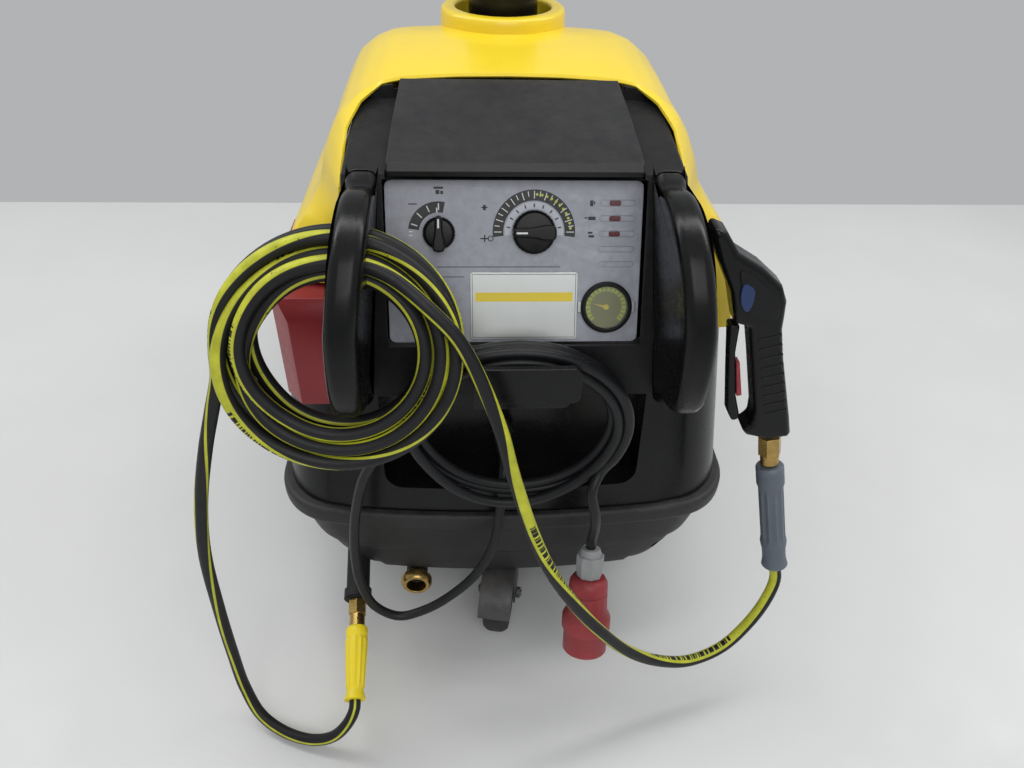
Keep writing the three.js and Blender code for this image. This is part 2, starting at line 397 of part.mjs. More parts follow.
// ---------- castor ----------
{
  const a = (CASTOR_YAW * Math.PI) / 180;
  const fx = -Math.sin(a), fy = -Math.cos(a);             // from the swivel to the wheel
  const ux = Math.cos(a), uy = -Math.sin(a);              // the wheel's axle
  const c = [fx * CASTOR_TRAIL, CASTOR_Y + fy * CASTOR_TRAIL, CASTOR_R];
  const turn = (g) => g.applyMatrix4(new THREE.Matrix4().makeRotationZ(-a).setPosition(0, CASTOR_Y, 0));
  put('castor_plate', add(plan(roundedRect(-46, 46, CASTOR_Y - 40, CASTOR_Y + 40, 8, 2), 153.5, 157.7), turned([[0, 143.3], [26, 143.3], [26, 154], [0, 154]], 20, [0, CASTOR_Y, 0], [0, 0, 1], [0, 1, 0])), 'zinc');
  const leg = (s) => side([[-52, 54], [-30, 54], [34, 140], [-31, 140], [-56, 92], [-56, 56]].map(([y, z]) => [y - 0, z]), s > 0 ? 22.5 : -25.5, s > 0 ? 25.5 : -22.5);
  const fork = add(turn(leg(1)), turn(leg(-1)), turn(box(-25.5, 25.5, -34, 34, 136, 140)),
    turn(box(-25.5, 25.5, -6, 8, 136, 140)), rod(24, [0, CASTOR_Y, 138], [0, CASTOR_Y, 143], 20));
  const guard = turn(side([[-112, 86], [-108, 86], [-103, 100], [-90, 116], [-64, 127.2], [-36, 127.2], [-36, 130.5], [-65, 130.5], [-93, 118.5], [-106, 102]], -24, 24));
  put('castor_fork', cut(add(fork, guard), rod(5.3, [c[0] - 40 * ux, c[1] - 40 * uy, c[2]], [c[0] + 40 * ux, c[1] + 40 * uy, c[2]], 12)), 'zinc');
  put('castor_axle', add(rod(5, [c[0] - 34 * ux, c[1] - 34 * uy, c[2]], [c[0] + 34 * ux, c[1] + 34 * uy, c[2]], 12),
    rod(8.5, [c[0] + 26 * ux, c[1] + 26 * uy, c[2]], [c[0] + 32 * ux, c[1] + 32 * uy, c[2]], 6), rod(8.5, [c[0] - 32 * ux, c[1] - 32 * uy, c[2]], [c[0] - 26 * ux, c[1] - 26 * uy, c[2]], 6)), 'zinc');
  const h = CASTOR_W / 2;
  put('castor_tyre', turned([[44.3, -h + 2], [56, -h], [CASTOR_R - 1, -h + 7], [CASTOR_R, -h + 12], [CASTOR_R, h - 12], [CASTOR_R - 1, h - 7], [56, h], [44.3, h - 2], [44.3, -h + 2]], 16, c, [ux, uy, 0]), 'rubber');
  put('castor_wheel', turned([[5.4, -h], [18, -h], [18, -5], [38, -5], [38, -h + 3], [44, -h + 3], [44, h - 3], [38, h - 3], [38, 5], [18, 5], [18, h], [5.4, h], [5.4, -h]], 16, c, [ux, uy, 0]), 'tub');
}

// ---------- high-pressure outlet, water inlet and cable gland ----------
const OUT0 = [-223.5, -310, 137], OUT1 = [-210.5, -540, 75.3];
const onOut = (t) => OUT0.map((v, i) => v + (OUT1[i] - v) * t);
put('pressure_outlet', add(rod(17, onOut(0), onOut(0.41), 16), rod(20, onOut(0.34), onOut(0.4), 16)), 'rubber');
put('outlet_nut', add(rod(13.5, onOut(0.412), onOut(0.5), 6), rod(11, onOut(0.45), onOut(0.575), 16)), 'brass');
{
  const L = Math.hypot(13, 230, 61.7) * (1 - 0.577);
  const s0 = onOut(0.577), d = OUT1.map((v, i) => v - OUT0[i]);
  put('outlet_sleeve', turned([[0, 0], [15.5, 0], [16, 12], [16, 40], [13.5, 52], [11.5, L - 8], [14.5, L], [0, L]], 16, s0, d), 'sleeveY');
}
put('inlet_neck', cut(add(rod(16, [-134, -300, 112], [-134, -361, 112], 16), box(-148, -120, -328, -300, 112, 131.6)), rod(11, [-134, -345, 112], [-134, -365, 112], 14)), 'rubber');
put('inlet_ring', (() => {
  const a = [-134, -361.3, 112], d = [0, -1, 0];
  return turned([[14.5, 0], [18, 0], [18, 5], [23, 5], [23, 14], [19, 19], [14.5, 19], [14.5, 0]], 18, a, d);
})(), 'brass');
put('cable_gland', add(rod(12, [-6, -331, 358], [-6, -285, 358], 16), rod(15, [-6, -312, 358], [-6, -303, 358], 6), rod(9.5, [-6, -352, 358], [-6, -330, 358], 14)), 'black');

// ---------- gun, hanging on its rest ----------
const GUN_Y0 = -419, GUN_Y1 = -385, GUN_C = -402;
put('gun_rest', front([[180.5, 655], [213, 655], [205.5, 679], [194.5, 704], [180.5, 704]], -388, -372), 'black');
{
  const body = front([[196, 719.4], [211, 712.7], [227, 690], [256, 672.5], [282, 650.6], [291, 632], [293.5, 612], [295, 596], [305.5, 558], [335, 468], [342.3, 443.5], [340, 437], [317, 432.5], [288, 440], [279, 449.5], [291, 457], [289, 480], [268, 560], [258, 596], [254, 600], [240, 604], [233, 625.7], [227, 644.6], [217, 662.9], [207, 682], [196, 706]], GUN_Y0, GUN_Y1, 7, 2);
  const pocket = front([[247, 600], [261, 596.5], [262, 585], [244, 585]], -412, -392);
  put('gun_body', cut(body, box(230, 300, -424, -411.5, 380, 382)), 'black');
  put('gun_trigger', front([[236.5, 598], [249, 598], [251.5, 560], [264, 500], [277, 462], [268, 457], [259, 473], [249, 527]], -411, -393, 3), 'black');
  put('gun_latch', front([[254.9, 547], [259.5, 546], [272, 497], [266, 495.5]], -407, -397), 'red');
}
const GN0 = [321.7, -405, 431.5], GN1 = [328, -416, 392];
const GS1 = [357, -456, 243];
put('gun_nut', add(rod(14.5, [322.3, -406, 430], [326, -412, 405], 6), rod(11.5, [325.5, -411, 408], GN1, 16)), 'brass');
{
  const d = GS1.map((v, i) => v - GN1[i]);
  const L = Math.hypot(...d);
  const s0 = GN1.map((v, i) => v + (d[i] / L) * 2.2);
  put('gun_sleeve', turned([[0, 0], [17.5, 0], [17.5, 26], [14, 38], [14, L - 46], [17, L - 40], [15, L - 28], [15, L - 10], [17, L - 1.4], [0, L - 1.4]], 16, s0, d), 'sleeveG');
}

// ---------- high-pressure hose ----------
const coilAxis = [0, Math.cos((HOSE_COIL.tilt * Math.PI) / 180), -Math.sin((HOSE_COIL.tilt * Math.PI) / 180)];
const coilSolid = (g) => turned(ringProfile(HOSE_COIL.rIn - g, HOSE_COIL.rOut + g, -HOSE_COIL.half - g, HOSE_COIL.half + g, 7), 28, HOSE_COIL.c, coilAxis);
put('hose_coil', coilSolid(0), 'hose');
{
  const e = onOut(1.003);
  const lower = [e, onOut(1.04), [-218, -560, 58], [-240, -566, 32], [-272, -562, 16], [-312, -548, 12.5], [-347, -528, 24], [-367, -508, 62], [-374, -496, 130], [-376, -488, 220], [-373, -482, 320], [-361, -476, 400], [-340, -470, 480], [-322, -466, 535], [-309, -463, 575], [-300, -460, 603]];
  put('hose_lower', cut(tube(lower, HOSE_R, 8, 34), coilSolid(GAP)), 'hose');
  const d = GS1.map((v, i) => v - GN1[i]);
  const L = Math.hypot(...d);
  const g0 = GN1.map((v, i) => v + (d[i] / L) * (L + 1.4));
  const g1 = GN1.map((v, i) => v + (d[i] / L) * (L + 26));
  const upper = [[-134, -443, 654], [-129, -458, 660], [-113, -471, 668], [-88, -478, 664], [-62, -486, 636], [-40, -495, 594], [-18, -508, 535], [-2, -522, 473], [34, -541, 364], [70, -549, 296], [108, -550, 238], [150, -543, 182], [200, -530, 136], [250, -516, 112], [296, -503, 122], [332, -488, 158], [352, -476, 196], g1, g0];
  put('hose_upper', cut(tube(upper, HOSE_R, 8, 40), coilSolid(GAP)), 'hose');
}

// ---------- power cable ----------
const hank = (g) => {
  const k = CABLE_COIL, oval = (a, b) => { const o = []; for (let i = 0; i < 28; i++) { const t = (2 * Math.PI * i) / 28; o.push([k.c[0] + a * Math.cos(t), k.c[2] + b * Math.sin(t)]); } return o; };
  return cut(front(oval(k.ax + g, k.az + g), k.c[1] - k.half - g, k.c[1] + k.half + g), front(oval(k.ix - g, k.iz - g), k.c[1] - 40, k.c[1] + 40));
};
put('cable_coil', hank(0), 'cable');
{
  const lower = [[-6, -352.6, 358], [-6, -360, 358], [-6.5, -374, 355], [-8, -392, 338], [-12, -404, 300], [-20, -411, 240], [-44, -418, 186], [-84, -424, 142], [-120, -428, 118], [-156, -430, 108], [-188, -430, 132], [-204, -429, 185], [-206, -428, 240], [-198, -429, 320], [-180, -432, 392], [-158, -436, 436], [-134, -438, 474]];
  put('cable_lower', cut(tube(lower, CABLE_R, 8, 32), hank(GAP)), 'cable');
  const P0 = [108.7, -440, 262.7];
  put('cable_drop', cut(tube([[90, -445, 402], [97, -458, 385], [105, -458, 350], [108.5, -444, 310], [109.1, -435.6, 274], [108.72, -439.76, 263.3]], CABLE_R, 8, 12), hank(GAP)), 'cable');
  const P1 = [104, -498, 122.5];
  const on = (t) => P0.map((v, i) => v + (P1[i] - v) * t);
  put('plug_gland', add(rod(15, on(0), on(0.1), 16), rod(19, on(0.06), on(0.27), 8)), 'lightgrey');
  const L = Math.hypot(4.7, 58, 140.2);
  put('plug_body', turned([[0, 0], [22, 0], [26, 8], [27, 50], [33, 60], [33, 76], [30, 80], [30, L * 0.727], [27, L * 0.727], [27, 84], [0, 84]], 20, on(0.273), P1.map((v, i) => v - P0[i])), 'red');
}
put('hood_latch', box(285.3, 290.5, 122, 148, 502, 556), 'black');

export default part;
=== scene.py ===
import bpy, bmesh, math, json
import numpy as np
from mathutils import Vector, Matrix


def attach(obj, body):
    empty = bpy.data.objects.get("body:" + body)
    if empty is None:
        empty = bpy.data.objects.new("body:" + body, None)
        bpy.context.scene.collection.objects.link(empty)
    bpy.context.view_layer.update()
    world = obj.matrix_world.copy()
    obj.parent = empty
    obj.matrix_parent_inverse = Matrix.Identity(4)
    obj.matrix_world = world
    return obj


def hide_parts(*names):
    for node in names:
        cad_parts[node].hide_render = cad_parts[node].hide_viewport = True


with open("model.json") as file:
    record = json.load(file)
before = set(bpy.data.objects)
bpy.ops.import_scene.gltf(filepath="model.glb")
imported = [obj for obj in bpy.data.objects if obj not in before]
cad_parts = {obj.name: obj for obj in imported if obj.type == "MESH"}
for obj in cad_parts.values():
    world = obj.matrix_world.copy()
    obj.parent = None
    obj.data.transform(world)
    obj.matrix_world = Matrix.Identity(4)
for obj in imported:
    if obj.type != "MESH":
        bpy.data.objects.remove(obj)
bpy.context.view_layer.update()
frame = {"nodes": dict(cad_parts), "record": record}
NODES = frame["nodes"]
BODY = {n: b for b, ns in frame["record"]["behaviour"]["bodies"].items() for n in ns}
scene = bpy.context.scene
MM = 0.001
rad = math.radians

# ------------------------------------------------------------------ camera
def cam_axes(theta, roll, yaw):
    cy, sy = math.cos(yaw), math.sin(yaw)
    fwd = np.array([-sy * math.cos(theta), cy * math.cos(theta), -math.sin(theta)])
    right = np.array([cy, sy, 0.0])
    down = np.cross(fwd, right)
    return right * math.cos(roll) + down * math.sin(roll), -right * math.sin(roll) + down * math.cos(roll), fwd

r_, d_, f_ = cam_axes(rad(38.19), rad(-1.76), rad(-3.676))
C = np.array([-46.1, -1103.6, 1065.2]) * MM
camd = bpy.data.cameras.new("view")
camd.sensor_width = 36
camd.lens = 36 * 769 / 1024
camd.clip_start = 0.02
cam = bpy.data.objects.new("view", camd)
scene.collection.objects.link(cam)
cam.matrix_world = Matrix(((r_[0], -d_[0], -f_[0], C[0]), (r_[1], -d_[1], -f_[1], C[1]), (r_[2], -d_[2], -f_[2], C[2]), (0, 0, 0, 1)))
scene.camera = cam
scene.view_settings.view_transform = 'Standard'

# ------------------------------------------------------------------ materials
def nodes_of(m):
    m.use_nodes = True
    nt = m.node_tree
    return nt, nt.nodes["Principled BSDF"]

def val(nt, op, a, b=None, clamp=False):
    n = nt.nodes.new("ShaderNodeMath")
    n.operation = op
    n.use_clamp = clamp
    for i, v in enumerate((a, b)):
        if v is None:
            continue
        if isinstance(v, (int, float)):
            n.inputs[i].default_value = v
        else:
            nt.links.new(v, n.inputs[i])
    return n.outputs[0]

def noise(nt, vec, scale, detail=3.0, rough=0.55, dist=0.0):
    n = nt.nodes.new("ShaderNodeTexNoise")
    n.inputs["Scale"].default_value = scale
    n.inputs["Detail"].default_value = detail
    n.inputs["Roughness"].default_value = rough
    n.inputs["Distortion"].default_value = dist
    if vec is not None:
        nt.links.new(vec, n.inputs["Vector"])
    return n.outputs["Fac"]

def ramp(nt, fac, a, b):
    n = nt.nodes.new("ShaderNodeMapRange")
    n.inputs["From Min"].default_value = a
    n.inputs["From Max"].default_value = b
    n.clamp = True
    nt.links.new(fac, n.inputs["Value"])
    return n.outputs[0]

def mixc(nt, fac, a, b):
    n = nt.nodes.new("ShaderNodeMix")
    n.data_type = 'RGBA'
    for s, v in ((n.inputs[0], fac), (n.inputs[6], a), (n.inputs[7], b)):
        if isinstance(v, (int, float)):
            s.default_value = v
        elif isinstance(v, (tuple, list)):
            s.default_value = (*v, 1.0) if len(v) == 3 else v
        else:
            nt.links.new(v, s)
    return n.outputs[2]

def stretched(nt, vec, scale, rot=(0, 0, 0)):
    n = nt.nodes.new("ShaderNodeMapping")
    n.inputs["Scale"].default_value = scale
    n.inputs["Rotation"].default_value = rot
    nt.links.new(vec, n.inputs["Vector"])
    return n.outputs[0]

def material(name, col, rough, metal=0.0, grain=3000, bump=0.15, depth=0.00015, mottle=0.12, mscale=11, rvar=0.12,
             dust=0.0, dustcol=(0.42, 0.40, 0.37), scratch=0.0, edge=0.0, edgecol=None, coat=0.0, spec=0.5, leather=False):
    m = bpy.data.materials.new(name)
    nt, p = nodes_of(m)
    tc = nt.nodes.new("ShaderNodeTexCoord").outputs["Object"]
    big = noise(nt, tc, mscale, 4)
    fine = noise(nt, tc, mscale * 9, 5, 0.65)
    lo = tuple(c * (1 - mottle) for c in col)
    hi = tuple(min(1, c * (1 + mottle)) for c in col)
    c = mixc(nt, ramp(nt, big, 0.3, 0.7), lo, hi)
    if edge:
        g = nt.nodes.new("ShaderNodeNewGeometry")
        e = ramp(nt, g.outputs["Pointiness"], 0.51, 0.56)
        e = val(nt, 'MULTIPLY', e, val(nt, 'MULTIPLY', ramp(nt, fine, 0.35, 0.65), edge))
        c = mixc(nt, e, c, edgecol or tuple(min(1, k * 2.5 + 0.03) for k in col))
    rgh = val(nt, 'ADD', rough - rvar / 2, val(nt, 'MULTIPLY', ramp(nt, fine, 0.25, 0.75), rvar))
    if dust:
        g = nt.nodes.new("ShaderNodeNewGeometry")
        s = nt.nodes.new("ShaderNodeSeparateXYZ")
        nt.links.new(g.outputs["Normal"], s.inputs[0])
        up = ramp(nt, s.outputs[2], 0.1, 1.0)
        d = val(nt, 'MULTIPLY', val(nt, 'MULTIPLY', up, ramp(nt, noise(nt, tc, 30, 6, 0.7), 0.35, 0.75)), dust)
        c = mixc(nt, d, c, dustcol)
        rgh = val(nt, 'ADD', rgh, val(nt, 'MULTIPLY', d, 0.5), True)
    if scratch:
        sv = noise(nt, stretched(nt, tc, (14, 240, 240), (0.3, 0.5, 0.2)), 1.0, 6, 0.75)
        sv2 = noise(nt, stretched(nt, tc, (300, 18, 220), (0.1, -0.4, 0.3)), 1.0, 6, 0.75)
        sm = val(nt, 'MAXIMUM', ramp(nt, sv, 0.66, 0.72), ramp(nt, sv2, 0.67, 0.73))
        sm = val(nt, 'MULTIPLY', sm, val(nt, 'MULTIPLY', ramp(nt, big, 0.4, 0.6), scratch))
        c = mixc(nt, sm, c, tuple(min(1, k * 3 + 0.10) for k in col))
        rgh = val(nt, 'ADD', rgh, val(nt, 'MULTIPLY', sm, 0.25), True)
    nt.links.new(c, p.inputs["Base Color"])
    nt.links.new(rgh, p.inputs["Roughness"])
    p.inputs["Metallic"].default_value = metal
    p.inputs["Specular IOR Level"].default_value = spec
    p.inputs["Coat Weight"].default_value = coat
    p.inputs["Coat Roughness"].default_value = 0.12
    if leather:
        v = nt.nodes.new("ShaderNodeTexVoronoi")
        v.feature = 'DISTANCE_TO_EDGE'
        v.inputs["Scale"].default_value = grain * 0.4
        nt.links.new(tc, v.inputs["Vector"])
        h = val(nt, 'ADD', ramp(nt, v.outputs["Distance"], 0.0, 0.25), val(nt, 'MULTIPLY', noise(nt, tc, grain, 2), 0.6))
    else:
        h = noise(nt, tc, grain, 3)
    b = nt.nodes.new("ShaderNodeBump")
    b.inputs["Strength"].default_value = bump
    b.inputs["Distance"].default_value = depth
    nt.links.new(h, b.inputs["Height"])
    nt.links.new(b.outputs[0], p.inputs["Normal"])
    return m

M = {
    'yellow': material('yellow_moulding', (0.84, 0.62, 0.024), 0.33, grain=1800, bump=0.08, mottle=0.035, rvar=0.10, scratch=0.05, edge=0.15, edgecol=(0.93, 0.74, 0.2), coat=0.25),
    'black': material('black_grained', (0.0095, 0.0097, 0.0108), 0.48, grain=1500, bump=0.30, depth=0.0002, mottle=0.2, dust=0.02, spec=0.18, scratch=0.05, edge=0.22, leather=True),
    'smooth_black': material('black_smooth', (0.0050, 0.0051, 0.0056), 0.25, grain=900, bump=0.04, mottle=0.2, rvar=0.12, dust=0.01, scratch=0.04, spec=0.22, edge=0.12),
    'lid': material('black_lid', (0.0115, 0.0115, 0.0125), 0.38, grain=2600, bump=0.18, mottle=0.15, rvar=0.10, dust=0.03, spec=0.34, scratch=0.12, edge=0.2),
    'tub_grey': material('grey_black_tub', (0.022, 0.0215, 0.022), 0.50, grain=1400, bump=0.30, mottle=0.2, dust=0.16, dustcol=(0.22, 0.205, 0.185), scratch=0.12, edge=0.3, spec=0.32, leather=True),
    'panel_grey': material('panel_grey', (0.315, 0.325, 0.372), 0.40, grain=4200, bump=0.12, mottle=0.03, rvar=0.06, scratch=0.05, edge=0.2),
    'red': material('tank_red', (0.29, 0.014, 0.022), 0.40, grain=1600, bump=0.15, mottle=0.10, dust=0.08, scratch=0.12),
    'plug_red': material('plug_red', (0.25, 0.018, 0.024), 0.46, grain=2400, bump=0.2, mottle=0.14, dust=0.12, scratch=0.4, edge=0.4),
    'brass': material('brass_worn', (0.46, 0.31, 0.105), 0.30, 1.0, grain=900, bump=0.12, mottle=0.22, mscale=60, rvar=0.2, scratch=0.3),
    'steel': material('steel_brushed', (0.42, 0.43, 0.44), 0.35, 1.0, grain=1200, bump=0.1, mottle=0.1, rvar=0.2, scratch=0.3),
    'zinc': material('zinc_worn', (0.085, 0.087, 0.09), 0.50, 0.7, grain=700, bump=0.2, mottle=0.3, mscale=40, rvar=0.25, dust=0.35, dustcol=(0.16, 0.12, 0.09)),
    'rubber': material('rubber_black', (0.011, 0.011, 0.012), 0.60, grain=2200, bump=0.3, mottle=0.2, dust=0.06, spec=0.3),
    'tyre': material('tyre_worn', (0.021, 0.020, 0.020), 0.80, grain=900, bump=0.6, depth=0.0004, mottle=0.35, mscale=40, dust=0.35, dustcol=(0.20, 0.18, 0.16)),
    'sleeve_yellow': material('sleeve_yellow', (0.90, 0.70, 0.012), 0.45, grain=2500, bump=0.15, mottle=0.06, dust=0.05, scratch=0.1),
    'sleeve_grey': material('sleeve_grey', (0.100, 0.122, 0.152), 0.52, grain=2400, bump=0.2, mottle=0.10, dust=0.12, scratch=0.12, edge=0.2),
    'light_grey': material('gland_grey', (0.27, 0.275, 0.28), 0.5, grain=2200, bump=0.2, mottle=0.15, dust=0.1, scratch=0.2, edge=0.2),
    'led_red': material('led_red', (0.10, 0.004, 0.006), 0.3, grain=1500, bump=0.05, mottle=0.1, coat=0.15, spec=0.3),
    'plate': material('label_silver', (0.60, 0.62, 0.60), 0.30, 0.55, grain=3500, bump=0.1, mottle=0.04, rvar=0.06),
    'tank_white': material('tank_white', (0.66, 0.65, 0.56), 0.5, grain=1200, bump=0.15, mottle=0.06),
    'motor_grey': material('motor_grey', (0.06, 0.075, 0.085), 0.5, 0.2, grain=900, bump=0.4, mottle=0.15, dust=0.3),
    'cable': material('cable_black', (0.008, 0.0085, 0.010), 0.42, grain=1300, bump=0.25, mottle=0.18, mscale=25, rvar=0.15, dust=0.03, scratch=0.08, spec=0.32),
    'blue': material('insert_blue', (0.010, 0.032, 0.125), 0.4, grain=2000, bump=0.1, mottle=0.1, scratch=0.2),
    'ink_black': material('print_black', (0.010, 0.010, 0.012), 0.45, grain=3000, bump=0.05, mottle=0.15),
    'ink_white': material('print_white', (0.74, 0.75, 0.76), 0.45, grain=3000, bump=0.05, mottle=0.05),
    'ink_green': material('print_yellow_green', (0.50, 0.56, 0.05), 0.45, grain=3000, bump=0.05, mottle=0.08),
    'ink_yellow': material('print_yellow', (0.80, 0.62, 0.04), 0.4, grain=3000, bump=0.05, mottle=0.04),
    'ring_grey': material('print_light_grey', (0.52, 0.54, 0.60), 0.42, grain=3000, bump=0.05, mottle=0.05),
    'seam': material('groove_dark', (0.10, 0.105, 0.125), 0.6, grain=3000, bump=0.05, mottle=0.1),
    'dial': material('dial_dark', (0.24, 0.235, 0.07), 0.5, grain=3000, bump=0.05, mottle=0.2),
}
m = bpy.data.materials.new("gauge_glass")
nt, p = nodes_of(m)
tc = nt.nodes.new("ShaderNodeTexCoord").outputs["Object"]
p.inputs["Base Color"].default_value = (0.95, 0.97, 0.97, 1)
p.inputs["Transmission Weight"].default_value = 0.95
p.inputs["IOR"].default_value = 1.2
nt.links.new(val(nt, 'MULTIPLY', ramp(nt, noise(nt, tc, 300, 4), 0.3, 0.8), 0.18), p.inputs["Roughness"])
M['glass'] = m

# rubber hose with one broad yellow-green stripe; u is the length in metres, v the turn round the hose
m = bpy.data.materials.new("hose_striped")
nt, p = nodes_of(m)
uv = nt.nodes.new("ShaderNodeUVMap"); uv.uv_map = "run"
sp = nt.nodes.new("ShaderNodeSeparateXYZ"); nt.links.new(uv.outputs[0], sp.inputs[0])
U, V = sp.outputs[0], sp.outputs[1]
n1 = nt.nodes.new("ShaderNodeTexNoise"); n1.noise_dimensions = '1D'; n1.inputs["Scale"].default_value = 1.7; n1.inputs["Detail"].default_value = 1.0
nt.links.new(U, n1.inputs["W"])
vv = val(nt, 'FRACT', val(nt, 'ADD', V, val(nt, 'MULTIPLY', n1.outputs["Fac"], 1.6)))
dv = val(nt, 'ABSOLUTE', val(nt, 'SUBTRACT', vv, 0.5))
stripe = val(nt, 'MAXIMUM', ramp(nt, dv, 0.165, 0.150), ramp(nt, dv, 0.462, 0.474))
core = ramp(nt, dv, 0.085, 0.075)
run = val(nt, 'FRACT', val(nt, 'MULTIPLY', U, 3.1))
text = val(nt, 'MULTIPLY', ramp(nt, run, 0.50, 0.505), ramp(nt, run, 0.96, 0.955))
n2 = nt.nodes.new("ShaderNodeTexNoise"); n2.noise_dimensions = '1D'; n2.inputs["Scale"].default_value = 330; n2.inputs["Detail"].default_value = 0.0
nt.links.new(U, n2.inputs["W"])
dash = val(nt, 'MULTIPLY', val(nt, 'MULTIPLY', core, text), ramp(nt, n2.outputs["Fac"], 0.44, 0.47))
stripe = val(nt, 'MULTIPLY', stripe, val(nt, 'SUBTRACT', 1.0, dash))
tc = nt.nodes.new("ShaderNodeTexCoord").outputs["Object"]
wear = noise(nt, tc, 160, 5, 0.7)
stripe = val(nt, 'MULTIPLY', stripe, ramp(nt, wear, 0.30, 0.36))
base = mixc(nt, ramp(nt, noise(nt, tc, 24, 4), 0.3, 0.7), (0.007, 0.007, 0.0085), (0.013, 0.013, 0.0145))
ycol = mixc(nt, ramp(nt, noise(nt, tc, 60, 4), 0.3, 0.7), (0.40, 0.42, 0.028), (0.60, 0.61, 0.05))
nt.links.new(mixc(nt, stripe, base, ycol), p.inputs["Base Color"])
nt.links.new(val(nt, 'ADD', 0.40, val(nt, 'MULTIPLY', ramp(nt, wear, 0.3, 0.7), 0.16)), p.inputs["Roughness"])
p.inputs["Specular IOR Level"].default_value = 0.32
b = nt.nodes.new("ShaderNodeBump"); b.inputs["Strength"].default_value = 0.25; b.inputs["Distance"].default_value = 0.0002
nt.links.new(noise(nt, tc, 1700, 3), b.inputs["Height"]); nt.links.new(b.outputs[0], p.inputs["Normal"])
M['hose'] = m

# ------------------------------------------------------------------ mesh helpers
def link(name, me, mat, body='machine', replaces=()):
    o = bpy.data.objects.new(name, me)
    scene.collection.objects.link(o)
    me.materials.clear()
    me.materials.append(M[mat])
    if body:
        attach(o, body)
    if replaces:
        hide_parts(*replaces)
    return o

def raw(name, verts, faces):
    me = bpy.data.meshes.new(name)
    me.from_pydata([tuple(float(c) * MM for c in v) for v in verts], [], faces)
    me.update()
    return me

def temp(me, name="tmp"):
    o = bpy.data.objects.new(name, me)
    scene.collection.objects.link(o)
    return o

def baked(o, mods):
    for kind, kw in mods:
        md = o.modifiers.new(kind.lower(), kind)
        for k, v in kw.items():
            setattr(md, k, v)
    bpy.context.view_layer.update()
    dg = bpy.context.evaluated_depsgraph_get()
    me = bpy.data.meshes.new_from_object(o.evaluated_get(dg))
    bpy.data.objects.remove(o)
    return me

def smooth(me, angle=32):
    me.polygons.foreach_set("use_smooth", [True] * len(me.polygons))
    me.set_sharp_from_angle(angle=rad(angle))
    me.update()

def outward(me):
    bm = bmesh.new(); bm.from_mesh(me)
    bmesh.ops.recalc_face_normals(bm, faces=bm.faces)
    bm.to_mesh(me); bm.free()

def bevelled(me, width, seg=3, angle=32, sharp=40, weighted=True, name="tmp", clamp=True):
    mods = []
    if width:
        mods.append(('BEVEL', dict(width=width * MM, segments=seg, limit_method='ANGLE', angle_limit=rad(angle), use_clamp_overlap=clamp, miter_outer='MITER_ARC')))
    me2 = baked(temp(me, name), mods) if mods else me
    smooth(me2, sharp)
    if weighted:
        me2 = baked(temp(me2, name), [('WEIGHTED_NORMAL', dict(keep_sharp=True, weight=60))])
    return me2

def remake(node, mat, width=1.2, seg=2, angle=34, sharp=40, dissolve=0.8, sub=0, name=None):
    """A CAD node's own shape, welded, with rounded edges."""
    src = NODES[node]
    bm = bmesh.new(); bm.from_mesh(src.data)
    bmesh.ops.remove_doubles(bm, verts=bm.verts, dist=2e-5)
    bmesh.ops.dissolve_limit(bm, angle_limit=rad(dissolve), verts=bm.verts, edges=bm.edges)
    me = bpy.data.meshes.new(node + "_shape")
    bm.to_mesh(me); bm.free()
    me2 = bevelled(me, width, seg, angle, sharp)
    return link(name or (node + "_skin"), me2, mat, BODY[node], (node,))

def lerp(rows, x):
    if x <= rows[0][0]: return rows[0][1]
    for a, b in zip(rows, rows[1:]):
        if x <= b[0]:
            return a[1] + (b[1] - a[1]) * (x - a[0]) / (b[0] - a[0])
    return rows[-1][1]

def catmull(P, t):
    n = len(P) - 1
    i = min(int(t), n - 1); f = t - i
    a = P[max(i - 1, 0)]; b = P[i]; c = P[i + 1]; d = P[min(i + 2, n)]
    return 0.5 * ((2 * b) + (c - a) * f + (2 * a - 5 * b + 4 * c - d) * f * f + (3 * b - 3 * c + d - a) * f ** 3)

def path(P, step):
    """A smooth curve through the points, resampled at an even step."""
    P = np.asarray(P, float)
    k = np.r_[0, np.cumsum(np.linalg.norm(np.diff(P, axis=0), axis=1) ** 0.5)]
    T = np.zeros_like(P)
    for i in range(len(P)):
        if i == 0: T[i] = (P[1] - P[0]) / (k[1] - k[0])
        elif i == len(P) - 1: T[i] = (P[-1] - P[-2]) / (k[-1] - k[-2])
        else:
            d0 = (P[i] - P[i - 1]) / (k[i] - k[i - 1]); d1 = (P[i + 1] - P[i]) / (k[i + 1] - k[i])
            w0, w1 = k[i + 1] - k[i], k[i] - k[i - 1]
            T[i] = (d0 * w0 + d1 * w1) / (w0 + w1)
    out = []
    for i in range(len(P) - 1):
        h = k[i + 1] - k[i]
        n = max(3, int(np.linalg.norm(P[i + 1] - P[i]) / step * 3))
        for j in range(n):
            s = j / n
            out.append((2 * s ** 3 - 3 * s * s + 1) * P[i] + (s ** 3 - 2 * s * s + s) * h * T[i] + (-2 * s ** 3 + 3 * s * s) * P[i + 1] + (s ** 3 - s * s) * h * T[i + 1])
    out.append(P[-1])
    out = np.array(out)
    for _ in range(2):
        q = out.copy(); q[1:-1] = (out[:-2] + 2 * out[1:-1] + out[2:]) / 4; out = q
    L = np.r_[0, np.cumsum(np.linalg.norm(np.diff(out, axis=0), axis=1))]
    m_ = max(2, int(round(L[-1] / step)))
    s = np.linspace(0, L[-1], m_ + 1)
    return np.stack([np.interp(s, L, out[:, c]) for c in range(3)], 1), L[-1]

